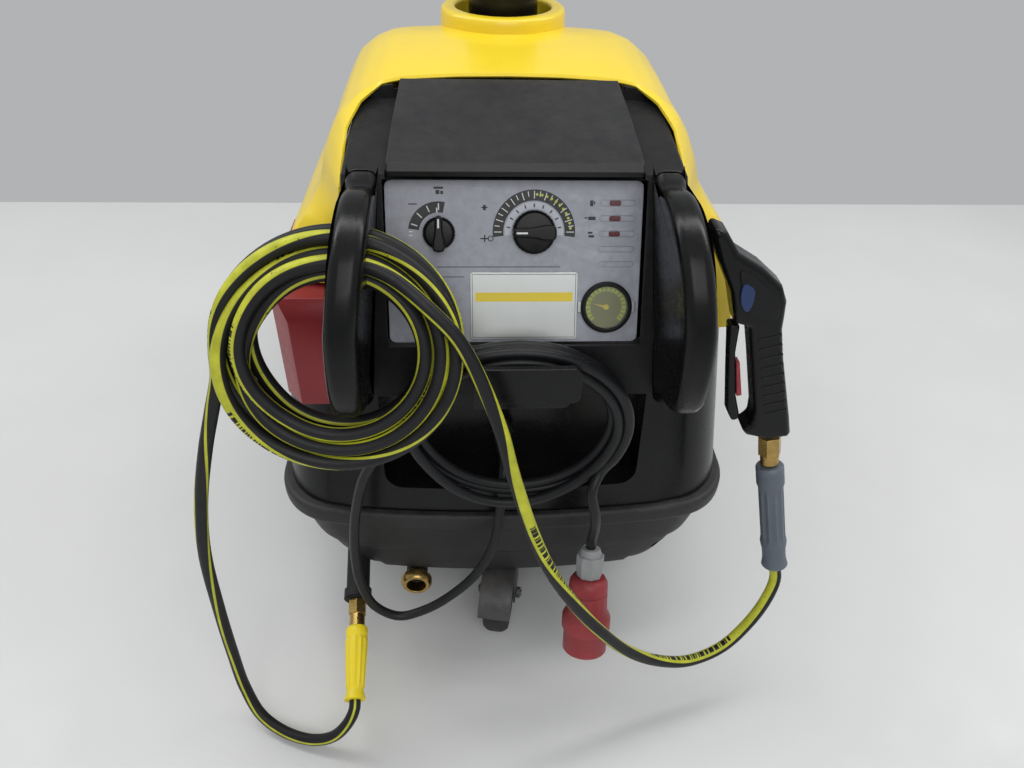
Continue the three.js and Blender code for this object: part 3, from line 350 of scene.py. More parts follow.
def tube(name, P, r, sides=16, closed=True):
    P = np.asarray(P, float)
    T = np.gradient(P, axis=0); T /= np.linalg.norm(T, axis=1)[:, None]
    N = np.zeros_like(P)
    a = np.array([0, 0, 1.0]) if abs(T[0][2]) < 0.8 else np.array([1.0, 0, 0])
    N[0] = a - T[0] * (a @ T[0]); N[0] /= np.linalg.norm(N[0])
    for i in range(1, len(P)):
        v = N[i - 1] - T[i] * (N[i - 1] @ T[i]); N[i] = v / np.linalg.norm(v)
    B = np.cross(T, N)
    ang = np.arange(sides) * 2 * math.pi / sides
    R = r if hasattr(r, '__len__') else [r] * len(P)
    verts, faces = [], []
    for i in range(len(P)):
        for t in ang:
            verts.append(P[i] + R[i] * (math.cos(t) * N[i] + math.sin(t) * B[i]))
    for i in range(len(P) - 1):
        for j in range(sides):
            j2 = (j + 1) % sides
            faces.append((i * sides + j, i * sides + j2, (i + 1) * sides + j2, (i + 1) * sides + j))
    n = len(faces)
    faces.append(tuple(range(sides))[::-1])
    faces.append(tuple((len(P) - 1) * sides + j for j in range(sides)))
    me = raw(name, verts, faces)
    L = np.r_[0, np.cumsum(np.linalg.norm(np.diff(P, axis=0), axis=1))] * MM
    uvl = me.uv_layers.new(name="run")
    data = np.zeros((len(me.loops), 2))
    for f in range(n):
        i, j = divmod(f, sides)
        q = [(L[i], j), (L[i], j + 1), (L[i + 1], j + 1), (L[i + 1], j)]
        for c in range(4):
            data[f * 4 + c] = (q[c][0], q[c][1] / sides)
    uvl.data.foreach_set("uv", data.ravel())
    smooth(me, 50)
    return me

def basis(axis):
    a = np.asarray(axis, float); a = a / np.linalg.norm(a)
    h = np.array([0, 0, 1.0]) if abs(a[2]) < 0.9 else np.array([1.0, 0, 0])
    u = np.cross(h, a); u /= np.linalg.norm(u)
    return u, np.cross(a, u), a

def lathe(name, prof, o, axis, segs=48, rmod=None, sharp=38, bevel=0, bseg=2):
    """A closed profile of (radius, height) turned about an axis."""
    u, v, a = basis(axis); o = np.asarray(o, float)
    pts = list(prof)
    verts, idx = [], []
    for (r, h) in pts:
        if r < 1e-6:
            idx.append([len(verts)] * segs); verts.append(o + a * h)
        else:
            row = []
            for k in range(segs):
                t = 2 * math.pi * k / segs
                rr = r + (rmod(t, r, h) if rmod else 0)
                row.append(len(verts)); verts.append(o + a * h + rr * (math.cos(t) * u + math.sin(t) * v))
            idx.append(row)
    faces = []
    n = len(pts)
    for i in range(n):
        A, B = idx[i], idx[(i + 1) % n]
        if len(set(A)) == 1 and len(set(B)) == 1: continue
        for k in range(segs):
            k2 = (k + 1) % segs
            f = []
            for q in (A[k], A[k2], B[k2], B[k]):
                if q not in f: f.append(q)
            if len(f) > 2: faces.append(tuple(f))
    me = raw(name, verts, faces)
    outward(me)
    if bevel:
        return bevelled(me, bevel, bseg, 30, sharp)
    smooth(me, sharp)
    return me

def fillet(prof, r, n=3, which=None):
    """Rounds the corners of a profile."""
    P = [np.array(p, float) for p in prof]
    out = []
    for i, b in enumerate(P):
        a, c = P[i - 1], P[(i + 1) % len(P)]
        if which is not None and i not in which or b[0] < 1e-6:
            out.append(tuple(b)); continue
        la, lc = np.linalg.norm(a - b), np.linalg.norm(c - b)
        d = min(r, la * 0.45, lc * 0.45)
        p0 = b + (a - b) / la * d; p1 = b + (c - b) / lc * d
        for k in range(n + 1):
            t = k / n
            out.append(tuple((1 - t) ** 2 * p0 + 2 * t * (1 - t) * b + t * t * p1))
    return out

def prism(name, outline, lo, hi, plane, bend=None):
    """An outline in (a, b) pushed from lo to hi along the plane's third axis."""
    n = len(outline)
    verts = []
    for h in (lo, hi):
        for (a, b) in outline:
            verts.append(plane(a, b, h))
    faces = [tuple(range(n))[::-1], tuple(range(n, 2 * n))]
    for i in range(n):
        j = (i + 1) % n
        faces.append((i, j, n + j, n + i))
    me = raw(name, verts, faces)
    outward(me)
    return me

def loopcurve(pts, step, closed=True):
    P = [np.array(p, float) for p in pts]
    out = []
    n = len(P)
    for i in range(n if closed else n - 1):
        a, b, c, d = P[(i - 1) % n], P[i], P[(i + 1) % n], P[(i + 2) % n]
        k = max(1, int(np.linalg.norm(c - b) / step))
        for j in range(k):
            f = j / k
            out.append(tuple(0.5 * ((2 * b) + (c - a) * f + (2 * a - 5 * b + 4 * c - d) * f * f + (3 * b - 3 * c + d - a) * f ** 3)))
    return out

XZ = lambda a, b, h: (a, h, b)
PT, PB = np.array([-335.0, 729.0]), np.array([-401.0, 569.0])
PD = (PB - PT) / np.linalg.norm(PB - PT)
def on_panel(x, s, n=0.0):
    return (x, PT[0] + PD[0] * s + PD[1] * n, PT[1] + PD[1] * s - PD[0] * n)
PN = (0, PD[1], -PD[0])

def joined(name, meshes):
    bm = bmesh.new()
    for me in meshes:
        bm.from_mesh(me)
    me = bpy.data.meshes.new(name)
    bm.to_mesh(me); bm.free()
    return me

def lines3(OUT0, OUT1):
    return lambda t: np.array(OUT0, float) + (np.array(OUT1, float) - np.array(OUT0, float)) * t

# ------------------------------------------------------------------ high-pressure hose
OUT0, OUT1 = (-223.5, -310, 137), (-210.5, -540, 75.3)
on_out = lines3(OUT0, OUT1)
GN1, GS1 = np.array([328, -416, 392.0]), np.array([357, -456, 243.0])
gd = (GS1 - GN1) / np.linalg.norm(GS1 - GN1); gL = np.linalg.norm(GS1 - GN1)
HOSE_R, CABLE_R = 7.8, 6.5
hc = np.array([-181, -462, 603.0]); tl = rad(18)
e1, e2, eax = np.array([1.0, 0, 0]), np.array([0, math.sin(tl), math.cos(tl)]), np.array([0, math.cos(tl), -math.sin(tl)])

def steps(table, t):
    """Values that hold and then change smoothly: rows of (t, values...)."""
    if t <= table[0][0]: return np.array(table[0][1:], float)
    for a, b in zip(table, table[1:]):
        if t <= b[0]:
            f = (t - a[0]) / (b[0] - a[0]); f = f * f * (3 - 2 * f)
            return np.array(a[1:], float) * (1 - f) + np.array(b[1:], float) * f
    return np.array(table[-1][1:], float)

turns = [(0, 119, 2), (0.2, 118, 14), (0.9, 118, 14), (1.15, 101.8, 14), (1.93, 101.8, 14), (2.16, 86, 14), (2.9, 86, 14), (3.12, 94, 0), (3.88, 94, 0),
         (4.12, 110, 0), (4.84, 110, 0), (5.1, 118, -14), (5.9, 118, -14), (6.16, 102, -14), (6.86, 102, -14), (7.12, 86, -14), (7.84, 86, -14),
         (8.05, 94, -26.5), (8.2, 96, -28.5), (8.36, 100, -29.5)]
coil = []
nT = int(8.36 * 30)
for i in range(nT + 1):
    t = 8.36 * i / nT
    r, h = steps(turns, t)
    ph = math.pi - 2 * math.pi * t
    grow = 1 + 0.13 * max(0.0, -math.cos(ph)) ** 2 + 0.05 * math.sin(ph) ** 2
    r = 86 + (r - 86) * grow + 1.1 * math.sin(2 * ph + 0.8) + 0.8 * math.sin(3.1 * t + 1.0)
    h = h + 1.2 * math.sin(2 * ph + 1.9 * t)
    coil.append(hc + r * (math.cos(ph) * e1 + math.sin(ph) * e2) + h * eax)
lower = [on_out(0.60), on_out(0.8), OUT1, on_out(1.04), (-218, -560, 58), (-240, -566, 32), (-272, -562, 16), (-312, -548, 12.5), (-347, -528, 24), (-367, -508, 62), (-374, -496, 130),
         (-376, -488, 220), (-373, -482, 320), (-361, -476, 400), (-340, -470, 480), (-322, -466, 535), (-309, -463, 575)]
upper = [(-88, -478, 664), (-62, -486, 636), (-40, -495, 594), (-18, -508, 535), (-2, -522, 473), (34, -541, 364), (70, -549, 296), (108, -550, 238), (150, -543, 182),
         (200, -530, 136), (250, -516, 112), (296, -503, 122), (332, -488, 158), (352, -476, 196), tuple(GS1 + gd * 26), tuple(GS1), tuple(GS1 - gd * 70), tuple(GN1 + gd * 4)]
P, LEN = path(np.array(list(lower) + [tuple(c) for c in coil] + list(upper), float), 5.0)
hose = link("hose", tube("hose", P, HOSE_R, 18), 'hose', 'machine', ('hose_lower', 'hose_coil', 'hose_upper'))

# ------------------------------------------------------------------ power cable
cc = np.array([4, -433, 474.0])
cable_lower = [(-6, -352.6, 358), (-6, -360, 358), (-6.5, -374, 355), (-8, -392, 338), (-12, -404, 300), (-20, -411, 240), (-44, -418, 186), (-84, -424, 142), (-120, -428, 118),
               (-156, -430, 108), (-188, -430, 132), (-204, -429, 185), (-206, -428, 240), (-198, -429, 320), (-180, -432, 392), (-158, -436, 436), (-137, -437, 470)]
# turn, half width, half height, depth, extra hang
ct = [(0, 129, 110, -436, 0), (0.12, 127.5, 110, -427, 0), (0.9, 127.5, 110, -427, 0), (1.1, 113, 95.5, -427, 5), (1.9, 113, 95.5, -427, 5), (2.1, 117, 97, -440, 20), (2.88, 119, 97, -440, 22),
      (3.1, 133, 111, -440.5, 24), (3.611, 129, 110, -441, 8)]
cab = []
nT = int(3.6 * 28)
for i in range(2, nT + 1):
    t = 3.6 * i / nT
    a, b2, y, hang = steps(ct, t)
    ph = math.pi - 2 * math.pi * t
    low_ = max(0.0, -math.sin(ph)) ** 2
    cab.append((cc[0] + a * math.cos(ph) + 2.0 * math.sin(1.7 * t) * low_ * 3, y - 1.5 * low_, cc[2] + b2 * math.sin(ph) - hang * low_))
drop = [(97, -455, 385), (104, -459, 350), (108.5, -448, 310), (109.1, -437, 276), (108.7, -440, 262.7), (108.1, -447.5, 244.6)]
P2, LEN2 = path(np.array(cable_lower + cab + drop, float), 5.0)
cable = link("power_cable", tube("power_cable", P2, CABLE_R, 16), 'cable', 'machine', ('cable_lower', 'cable_coil', 'cable_drop'))

# fittings on the hose
def ribs(n, amp, h0, h1):
    def f(t, r, h):
        if h0 < h < h1 and r > 9:
            return amp * (0.5 + 0.5 * math.cos(n * t)) ** 2
        return 0
    return f

s0 = on_out(0.577); od = np.array(OUT1) - np.array(OUT0); L = np.linalg.norm(od) * (1 - 0.577)
prof = [(0, 0), (13.5, 0), (15.5, 3), (15.5, 12), (14.5, 14), (14.5, 18), (15.0, 20)]
prof += [(15.0 - 3.6 * ((h - 20) / (L - 34)), h) for h in np.linspace(20, L - 14, 24)]
prof += [(11.8, L - 11), (14.2, L - 3), (14.5, L - 0.6), (12.5, L), (0, L)]
sleeve_y = link("outlet_sleeve_skin", lathe("outlet_sleeve_skin", prof, s0, od, 72, ribs(12, 1.2, 17, L - 14)), 'sleeve_yellow', 'machine', ('outlet_sleeve',))
nut_o = remake('outlet_nut', 'brass', 0.9, 2, 25)
Lg = gL - 1.4
s0 = GN1 + gd * 2.2
prof = [(0, 0), (16, 0), (17.4, 2), (17.5, 10), (17.0, 12), (17.5, 14), (17.5, 26), (15.6, 32), (14.2, 38)]
prof += [(14.2, h) for h in np.linspace(40, Lg - 48, 20)]
prof += [(14.6, Lg - 46), (17, Lg - 40), (16.4, Lg - 34), (15.2, Lg - 28), (15, Lg - 16), (15.6, Lg - 9), (17, Lg - 2), (16, Lg), (0, Lg)]
sleeve_g = link("gun_sleeve_skin", lathe("gun_sleeve_skin", prof, s0, gd, 72, ribs(10, 1.6, 34, Lg - 42)), 'sleeve_grey', 'machine', ('gun_sleeve',))
nut_g = remake('gun_nut', 'brass', 0.9, 2, 25)

# ------------------------------------------------------------------ spray gun
GY0, GY1 = -419, -385
body_out = [(196, 719.4), (211, 712.7), (227, 690), (256, 672.5), (282, 650.6), (291, 632), (293.5, 612), (295, 596), (305.5, 558), (335, 468), (342.3, 443.5), (340, 437), (317, 432.5), (288, 440),
            (279, 449.5), (291, 457), (289, 480), (268, 560), (258, 596), (254, 600), (240, 604), (233, 625.7), (227, 644.6), (217, 662.9), (207, 682), (196, 706)]
me = prism("gun", body_out, GY0, GY1, XZ)
gun_body = link("gun_body_skin", bevelled(me, 8.5, 5, 60, 50), 'smooth_black', 'machine', ('gun_body',))
me = prism("gun_cap", loopcurve([(232, 672), (262, 654), (281, 634), (283, 612), (262, 614), (243, 628), (236, 650)], 4), GY0 - 1.6, GY0 + 4, XZ)
gun_cap = link("gun_side_cover", bevelled(me, 1.6, 3, 60, 50), 'black', 'machine')
me = prism("gun_blue", loopcurve([(238, 657), (250, 650), (252, 634), (248, 622), (240, 630), (236, 645)], 4), GY0 - 2.6, GY0 + 2, XZ)
gun_blue = link("gun_insert", bevelled(me, 1.0, 2, 60, 50), 'blue', 'machine')
trig = link("gun_trigger_skin", bevelled(prism("trig", [(236.5, 598), (249, 598), (251.5, 560), (264, 500), (277, 462), (268, 457), (259, 473), (249, 527)], -411, -393, XZ), 4, 4, 60, 50), 'smooth_black', 'trigger', ('gun_trigger',))
lock = link("gun_latch_skin", bevelled(prism("lock", [(254.9, 547), (259.5, 546), (272, 497), (266, 495.5)], -409, -397, XZ), 1.2, 3, 60, 50), 'plug_red', 'lock', ('gun_latch',))
grips = []
for k in range(9):
    z = 585 - k * 13.5
    x = 283 + (585 - z) * 0.30
    grips.append(prism("g", [(x - 14, z - 2.2), (x + 11, z + 4.8), (x + 11, z + 7.4), (x - 14, z + 0.4)], GY0 - 0.9, GY0 + 3, XZ))
gun_grip = link("gun_grip_ribs", bevelled(joined("gun_grip", grips), 0.6, 2, 60, 50), 'black', 'machine')

# ------------------------------------------------------------------ plug
P0, P1 = np.array([108.7, -440, 262.7]), np.array([104, -498, 122.5])
on_plug = lines3(P0, P1)
pd = P1 - P0; pL = np.linalg.norm(pd)
hexr = lambda t, r, h: 0
gl = [lathe("pg", fillet([(0, 0), (12.5, 0), (15, 9), (15, 12), (0, 12)], 1.2), on_plug(0), pd, 48),
      bevelled(lathe("pg2", [(0, 0), (18.8, 0), (18.8, 19), (17, 31.5), (0, 31.5)], on_plug(0.06), pd, 8, sharp=20), 1.3, 3, 25, 40)]
plug_gland = link("plug_gland_skin", joined("plug_gland", gl), 'light_grey', 'machine', ('plug_gland',))
Lb = pL * 0.727
prof = [(0, 0.3), (19.5, 0.3), (22.5, 2), (25.5, 7), (26.3, 16), (26.3, 20), (25.2, 21), (25.2, 23), (26.4, 24), (27, 46), (27.4, 50), (32, 57), (33, 60), (33, 75), (31.5, 78), (30, 80.5), (30, Lb - 1.5), (29, Lb), (27.5, Lb), (27, Lb - 2), (27, 84), (0, 84)]
plug_body = link("plug_body_skin", lathe("plug_body_skin", prof, on_plug(0.273), pd, 72, ribs(16, 0.9, 24.5, 47)), 'plug_red', 'machine', ('plug_body',))
pins = [lathe("pin", [(0, 82), (2.6, 82), (2.6, Lb - 9), (2, Lb - 7), (0, Lb - 7)], on_plug(0.273) + 17 * (math.cos(a) * basis(pd)[0] + math.sin(a) * basis(pd)[1]), pd, 16) for a in [0.4, 1.65, 2.9, 4.15, 5.4]]
plug_pins = link("plug_pins", joined("plug_pins", pins), 'brass', 'machine')

# cable gland with its tapered strain relief
gprof = [lathe("cg", fillet([(0, 0), (12, 0), (12, 19), (0, 19)], 0.8), (-6, -285, 358), (0, -1, 0), 40),
         bevelled(lathe("cg2", [(0, 18), (15.5, 18), (15.5, 27), (0, 27)], (-6, -285, 358), (0, -1, 0), 6, sharp=20), 1, 2, 25),
         lathe("cg3", [(0, 26), (12, 26), (12, 44), (10.5, 47), (9.5, 60), (8.8, 62), (8.8, 65), (8.0, 67), (8.0, 70), (7.3, 72), (7.3, 75), (6.9, 77), (0, 77)], (-6, -285, 358), (0, -1, 0), 40)]
gland = link("cable_gland_skin", joined("cable_gland", gprof[:2]), 'black', 'machine', ('cable_gland',))
relief = link("cable_strain_relief", joined("cable_relief", gprof[2:]), 'rubber', 'machine')

tuple(on_out(0.60) * MM)

# ------------------------------------------------------------------ hood
SEC = np.array([[282, 533, -316, 187, -326], [272, 580, -316, 187, -326], [263, 622, -314, 187, -326], [249, 660, -306, 187, -328],
    [228, 684, -290, 187, -334], [218, 703, -270, 187, -338], [213, 730, -250, 186, -334], [206, 751, -235, 185, -300],
    [195, 770, -220, 184, -258], [174, 786, -198, 171, -211], [150, 795, -176, 149, -179], [124, 798, -168, 124, -171], [62, 801, -166, 62, -169], [0, 802, -166, 0, -169]], float)
CREST = [(-340, 0.965), (-172, 0.965), (-120, 0.985), (-60, 0.997), (0, 1), (40, 0.985), (100, 0.93), (200, 0.8), (300, 0.655), (400, 0.485), (455, 0.335), (490, 0.15), (502, 0.045)]
ROWS = [0, 1, -100, -40, 10, 60, 120, 200, 300, 410, 450, 478, 495, 502]
FLUE_Y = 58
def crest(y):
    xs = [c[0] for c in CREST]
    if y <= -60: return lerp(CREST, y)
    return 0.5 * lerp(CREST, y) + 0.25 * (lerp(CREST, y - 14) + lerp(CREST, y + 14)) if y < 490 else lerp(CREST, y)
low = lambda z, y: 1 - (1 - lerp(CREST, max(y, -200))) * min(1, max(0, (z - 690) / 100))
ks = np.arange(0, 26.01, 0.25)
def section(k):
    kk = k if k <= 13 else 26 - k
    s = -1 if k <= 13 else 1
    i = int(kk); f = kk - i
    a = SEC[max(i - 1, 0)]; b = SEC[i]; c = SEC[min(i + 1, 13)]; d = SEC[min(i + 2, 13)]
    if i >= 12:
        d = c * np.array([-1, 1, 1, -1, 1]) + (b - c) * 0; d = np.array([-SEC[12][0], *SEC[12][1:3], -SEC[12][3], SEC[12][4]])
    lin = b * (1 - f) + c * f
    cr = 0.5 * ((2 * b) + (c - a) * f + (2 * a - 5 * b + 4 * c - d) * f * f + (3 * b - 3 * c + d - a) * f ** 3)
    q = lin * 0.72 + cr * 0.28
    return (s * q[0], q[1], q[2], s * q[3], q[4])
def hood_pt(k, j):
    x, z, yk, ex, ey = section(k)
    if j < 1:
        f = j
        p0 = np.array([ex, ey, 533 + (z - 533) * low(z, ey) - (3 if z > 600 else 0)])
        p1 = np.array([x, yk, 533 + (z - 533) * low(z, yk)])
        return p0 * (1 - f) + p1 * f
    Y = lambda i: yk if i <= 1 else max(ROWS[i], yk + 8 * i)
    i = min(int(j), 12); f = j - i
    y = Y(i) * (1 - f) + Y(i + 1) * f
    hh = low(z, y) if y < -60 else crest(y)
    w = (191 + 90 * math.sqrt(max(0.0, 1 - ((y - 410) / 92) ** 2))) / 281 if y > 410 else 1
    return np.array([x * w, y, max(533.0, 533 + (z - 533) * hh)])
js = [0, 0.5, 0.94] + [1 + 0.06] + list(np.arange(1.25, 13.01, 0.25))
verts, faces = [], []
for k in ks:
    for j in js:
        verts.append(hood_pt(min(k, 26), j))
nj = len(js)
for a in range(len(ks) - 1):
    for b in range(nj - 1):
        faces.append((a * nj + b, a * nj + b + 1, (a + 1) * nj + b + 1, (a + 1) * nj + b))
me = raw("hood", verts, faces)
# the grid's normals have to look outwards for the wall to go inwards
mid = me.polygons[len(me.polygons) // 2]
if me.polygons[(len(ks) // 2) * (nj - 1) + 20].normal.z < 0:
    me.flip_normals()
def cutter(me): return temp(me, "cutter")
shell_me = baked(temp(me), [('SOLIDIFY', dict(thickness=3.8 * MM, offset=-1.0, use_even_offset=False)),
                            ('BEVEL', dict(width=1.6 * MM, segments=3, limit_method='ANGLE', angle_limit=rad(48), use_clamp_overlap=True))])
collar_prof = fillet([(66, 722), (90, 722), (86.5, 812), (85, 817), (81, 819), (69, 819), (66.5, 817), (66, 813)], 3, 3, (2, 3, 4, 5, 6, 7))
collar = lathe("collar", collar_prof, (0, FLUE_Y, 0), (0, 0, 1), 96, sharp=180)
hole = lathe("hole", [(0, 650), (66, 650), (66, 819.5), (0, 819.5)], (0, FLUE_Y, 0), (0, 0, 1), 96)
def boxmesh(lo, hi):
    return prism("bx", [(lo[0], lo[1]), (hi[0], lo[1]), (hi[0], hi[1]), (lo[0], hi[1])], lo[2], hi[2], lambda a, b, h: (a, b, h))
ob = temp(shell_me, "hood_tmp")
c1, c2, c3 = cutter(collar), cutter(hole), cutter(boxmesh((-330, -420, 500), (-163, -146, 600.5)))
me = baked(ob, [('BOOLEAN', dict(operation='UNION', object=c1, solver='EXACT', use_self=True)), ('BOOLEAN', dict(operation='DIFFERENCE', object=c2, solver='EXACT', use_self=True)),
                ('BOOLEAN', dict(operation='DIFFERENCE', object=c3, solver='EXACT', use_self=True))])
for c in (c1, c2, c3): bpy.data.objects.remove(c)
smooth(me, 33)
hood = link("hood_skin", me, 'yellow', 'hood', ('hood',))
prof = fillet([(43, 742), (65, 742), (65, 746), (48, 750), (48, 836), (52, 839), (52, 916), (49, 920), (45, 920), (43, 916)], 2.5, 3, (4, 5, 6, 7, 8, 9))
flue = link("flue_skin", lathe("flue", prof, (0, FLUE_Y, 0), (0, 0, 1), 96), 'smooth_black', 'hood', ('flue_nozzle',))

# ------------------------------------------------------------------ console, lid, body
console = remake('console_housing', 'black', 2.2, 3, 30, 45)
lid = remake('storage_lid', 'lid', 1.6, 3, 25, 45)
HALF_W, FRONT, REAR = 325, -383, 530
def outline(dx, dyf, dyr, n=14):
    half, w_ = [], HALF_W - dx
    for t in np.arange(0.06, 0.69, 0.0775):
        half.append((w_ * t, FRONT + dyf + 26 * t * t))
    cx_, fy = w_ - 88, FRONT + dyf + 26 * 0.53
    for i in range(n + 1):
        a = rad(-82 + 82 * i / n); half.append((cx_ + 88 * math.cos(a), fy + 95 + 92 * math.sin(a)))
    ry = REAR - dyr - 90
    for i in range(n + 1):
        a = rad(90 * i / n); half.append((w_ - 90 + 90 * math.cos(a), ry + 90 * math.sin(a)))
    return half + [(-x, y) for x, y in half][::-1]
def loft(levels):
    n, verts, faces = 0, [], []
    for z, dx, dyf, dyr in levels:
        o_ = outline(dx, dyf, dyr); n = len(o_)
        verts += [(x, y, z) for x, y in o_]
    for i in range(len(levels) - 1):
        for k in range(n):
            k2 = (k + 1) % n
            faces.append((i * n + k, i * n + k2, (i + 1) * n + k2, (i + 1) * n + k))
    faces.append(tuple(range(n))[::-1]); faces.append(tuple((len(levels) - 1) * n + k for k in range(n)))
    me = raw("loft", verts, faces); outward(me)
    return me
def carve(me, *cutters):
    o_ = temp(me); cs = [temp(c, "cutter") for c in cutters]
    me2 = baked(o_, [('BOOLEAN', dict(operation='DIFFERENCE', object=c, solver='EXACT')) for c in cs])
    for c in cs: bpy.data.objects.remove(c)
    return me2
def rounded(x0, x1, z0, z1, r, n=6):
    out = []
    for cx_, cz_, a0 in ((x1 - r, z1 - r, 0), (x0 + r, z1 - r, 90), (x0 + r, z0 + r, 180), (x1 - r, z0 + r, 270)):
        for i in range(n + 1):
            a = rad(a0 + 90 * i / n); out.append((cx_ + r * math.cos(a), cz_ + r * math.sin(a)))
    return out
def rodmesh(r, a, b, segs=48):
    a, b = np.array(a, float), np.array(b, float)
    return lathe("rod", [(0, 0), (r, 0), (r, np.linalg.norm(b - a)), (0, np.linalg.norm(b - a))], a, b - a, segs)
def between(z, a, b):
    f = (z - a[0]) / (b[0] - a[0])
    return (z, *[a[i] + (b[i] - a[i]) * f for i in (1, 2, 3)])
so0, so1 = (262.3, 11, 10, 10), (530, 44, 36, 30)
lv = [(262.3, 14, 13, 13), (263.6, 12, 11, 11), (266, 11.4, 10.3, 10.3)] + [between(z, so0, so1) for z in (300, 380, 460, 520)] + [(525, 43.8, 35.9, 29.9), (528.4, 45.8, 37.8, 31.8), (530, 49, 41, 35)]
recess = lambda g: prism("recess", rounded(-166 - g, 176 + g, 304 - g, 640, 24 + g), -430, -296 + g, XZ)
inner = carve(loft([(258, 16, 15, 14.5), (534, 49.5, 41.5, 35.5)]), recess(5), boxmesh((-361, -431, 451), (-162, -145, 601)))
sm = carve(loft(lv), inner, recess(0), boxmesh((-186, -430, 504), (186, -120, 600)), boxmesh((-360, -430, 452), (-163, -146, 600)), rodmesh(12.3, (-6, -330, 358), (-6, -270, 358)))
link("console_back", bevelled(prism("console_back", [(-172, 640), (172, 640), (172, 768), (150, 781), (136, 783), (136, 778.5), (-136, 778.5), (-136, 783), (-150, 781), (-172, 768)], -181, -178, XZ), 0.6, 2), 'black', 'machine')
shell = link("upper_shell_skin", bevelled(sm, 1.8, 3, 55, 50), 'smooth_black', 'machine', ('upper_shell',))
lv = [(132, 71, 21, 29), (133, 66.5, 16.5, 24.5), (136.5, 61.5, 12, 20)] + [between(z, (132, 62, 12, 20), (181, 36, 9, 12)) for z in (150, 172, 177)] + [(180, 36.6, 9, 12.2), (181.6, 33.6, 7.2, 11), (184.5, 30.8, 6, 10)]
lv += [between(z, (180, 32, 6, 10), (236, 14, 5, 8)) for z in (200, 220, 230)] + [(234, 13, 4.8, 7.6), (235.2, 8, 3.2, 4.6), (236.6, 3, 1.4, 1.8), (239, 0.6, 0.3, 0.3), (243, 0, 0, 0), (254, 0, 0, 0), (258.5, 0.8, 0.8, 0.8), (261.2, 3, 3, 3), (262, 6, 6, 6)]
tub_in = loft([(138, 68, 18, 26), (185.5, 42, 15, 18), (186, 40, 13, 18), (270, 18, 11, 14)])
cuts = []
for sg in (-1, 1):
    cuts.append(rodmesh(122, (sg * 240, 300, 110), (sg * 340, 300, 110), 96))
    cuts.append(boxmesh((min(sg * 240, sg * 340), 178, 60), (max(sg * 240, sg * 340), 422, 110)))
bays = [rodmesh(126, (sg * 236, 300, 110), (sg * 340, 300, 110), 96) for sg in (-1, 1)]
tub_in = carve(tub_in, *bays, boxmesh((-57, -366, 100), (57, -264, 163)))
tm = carve(loft(lv), tub_in, *cuts, boxmesh((-52, -361, 100), (52, -269, 158)), rodmesh(11, (-260, 300, 149.5), (260, 300, 150)), rodmesh(19, (-224.6, -290, 142.4), (-216.5, -433, 104)),
           prism("oval", rounded(222, 262, 143, 161, 8.9), -425, -330, XZ))
tub = link("chassis_tub_skin", bevelled(tm, 1.6, 3, 55, 50), 'tub_grey', 'machine', ('chassis_tub',))
tank = remake('fuel_tank', 'red', 3.5, 3, 40, 60)
panel = remake('control_panel', 'panel_grey', 0.5, 2, 50, 45)
HOOK_R = (102, 86)
hk_top = [(-46 + 13.25 * i, 474 + HOOK_R[1] * math.sqrt(1 - ((-50 + 13.25 * i) / HOOK_R[0]) ** 2)) for i in range(9)]
hook = link("cable_hook_skin", joined("cable_hook", [
    bevelled(prism("hook_arm", [(-46, 522)] + [(60 - 9 + 9 * math.sin(rad(a)), 531 - 9 * math.cos(rad(a))) for a in range(0, 91, 15)] + hk_top[::-1], -459, -418.6, XZ), 0.8, 2, 40, 45),
    bevelled(prism("hook_lip", rounded(-46, 70, 534, 581, 9), -466, -458, XZ), 1.8, 4, 50, 45)]), 'smooth_black', 'machine', ('cable_hook',))
rest = remake('gun_rest', 'black', 1.6, 3, 40, 45)

# ------------------------------------------------------------------ bow handles
def handle(name, sgn, node):
    outer = [(-357.2, 739.5), (-390, 750), (-425, 757), (-462, 750), (-497, 726), (-519, 690), (-530, 645), (-529, 600), (-517, 566), (-498, 548), (-460, 533), (-418.5, 522)]
    back = [(-416.6, 590), (-389.7, 657), (-438, 660), (-478, 665), (-491, 678), (-490, 700), (-474, 724), (-446, 736.5), (-420, 738), (-385, 731), (-362, 726.5)]
    o = loopcurve(outer, 7, False) + [outer[-1]]
    b = back[:2] + loopcurve(back[1:], 5, False)[1:] + [back[-1]]
    rows = [(500, 173), (560, 173), (660, 168), (757, 155), (800, 152)]
    me = prism(name, o + b, -16, 16, lambda y, z, h: (sgn * lerp(rows, z) + h, y, z))
    me = bevelled(me, 11.5, 7, 60, 60, clamp=False)
    return link(name + "_skin", me, 'smooth_black', 'machine', (node,))
handle("handle_left", -1, 'handle_left')
handle("handle_right", 1, 'handle_right')

# ------------------------------------------------------------------ panel print, knobs, gauge
def arc(cx, cs, r0, r1, a0, a1, n=40):
    out = []
    for i in range(n + 1):
        t = rad(a0 + (a1 - a0) * i / n); out.append((cx + r1 * math.sin(t), cs - r1 * math.cos(t)))
    for i in range(n, -1, -1):
        t = rad(a0 + (a1 - a0) * i / n); out.append((cx + r0 * math.sin(t), cs - r0 * math.cos(t)))
    return out
def tick(cx, cs, r0, r1, a, w):
    t = rad(a); s, c = math.sin(t), math.cos(t)
    return [(cx + r0 * s - w * c, cs - r0 * c - w * s), (cx + r1 * s - w * c, cs - r1 * c - w * s), (cx + r1 * s + w * c, cs - r1 * c + w * s), (cx + r0 * s + w * c, cs - r0 * c + w * s)]
def rect(x0, x1, s0, s1): return [(x0, s0), (x1, s0), (x1, s1), (x0, s1)]
def prints(name, polys, mat, n0=0.0, n1=0.25, body='machine'):
    me = joined(name, [prism(name, p, n0, n1, lambda a, b, h: on_panel(a, b, h)) for p in polys])
    smooth(me, 30)
    return link(name, me, mat, body)
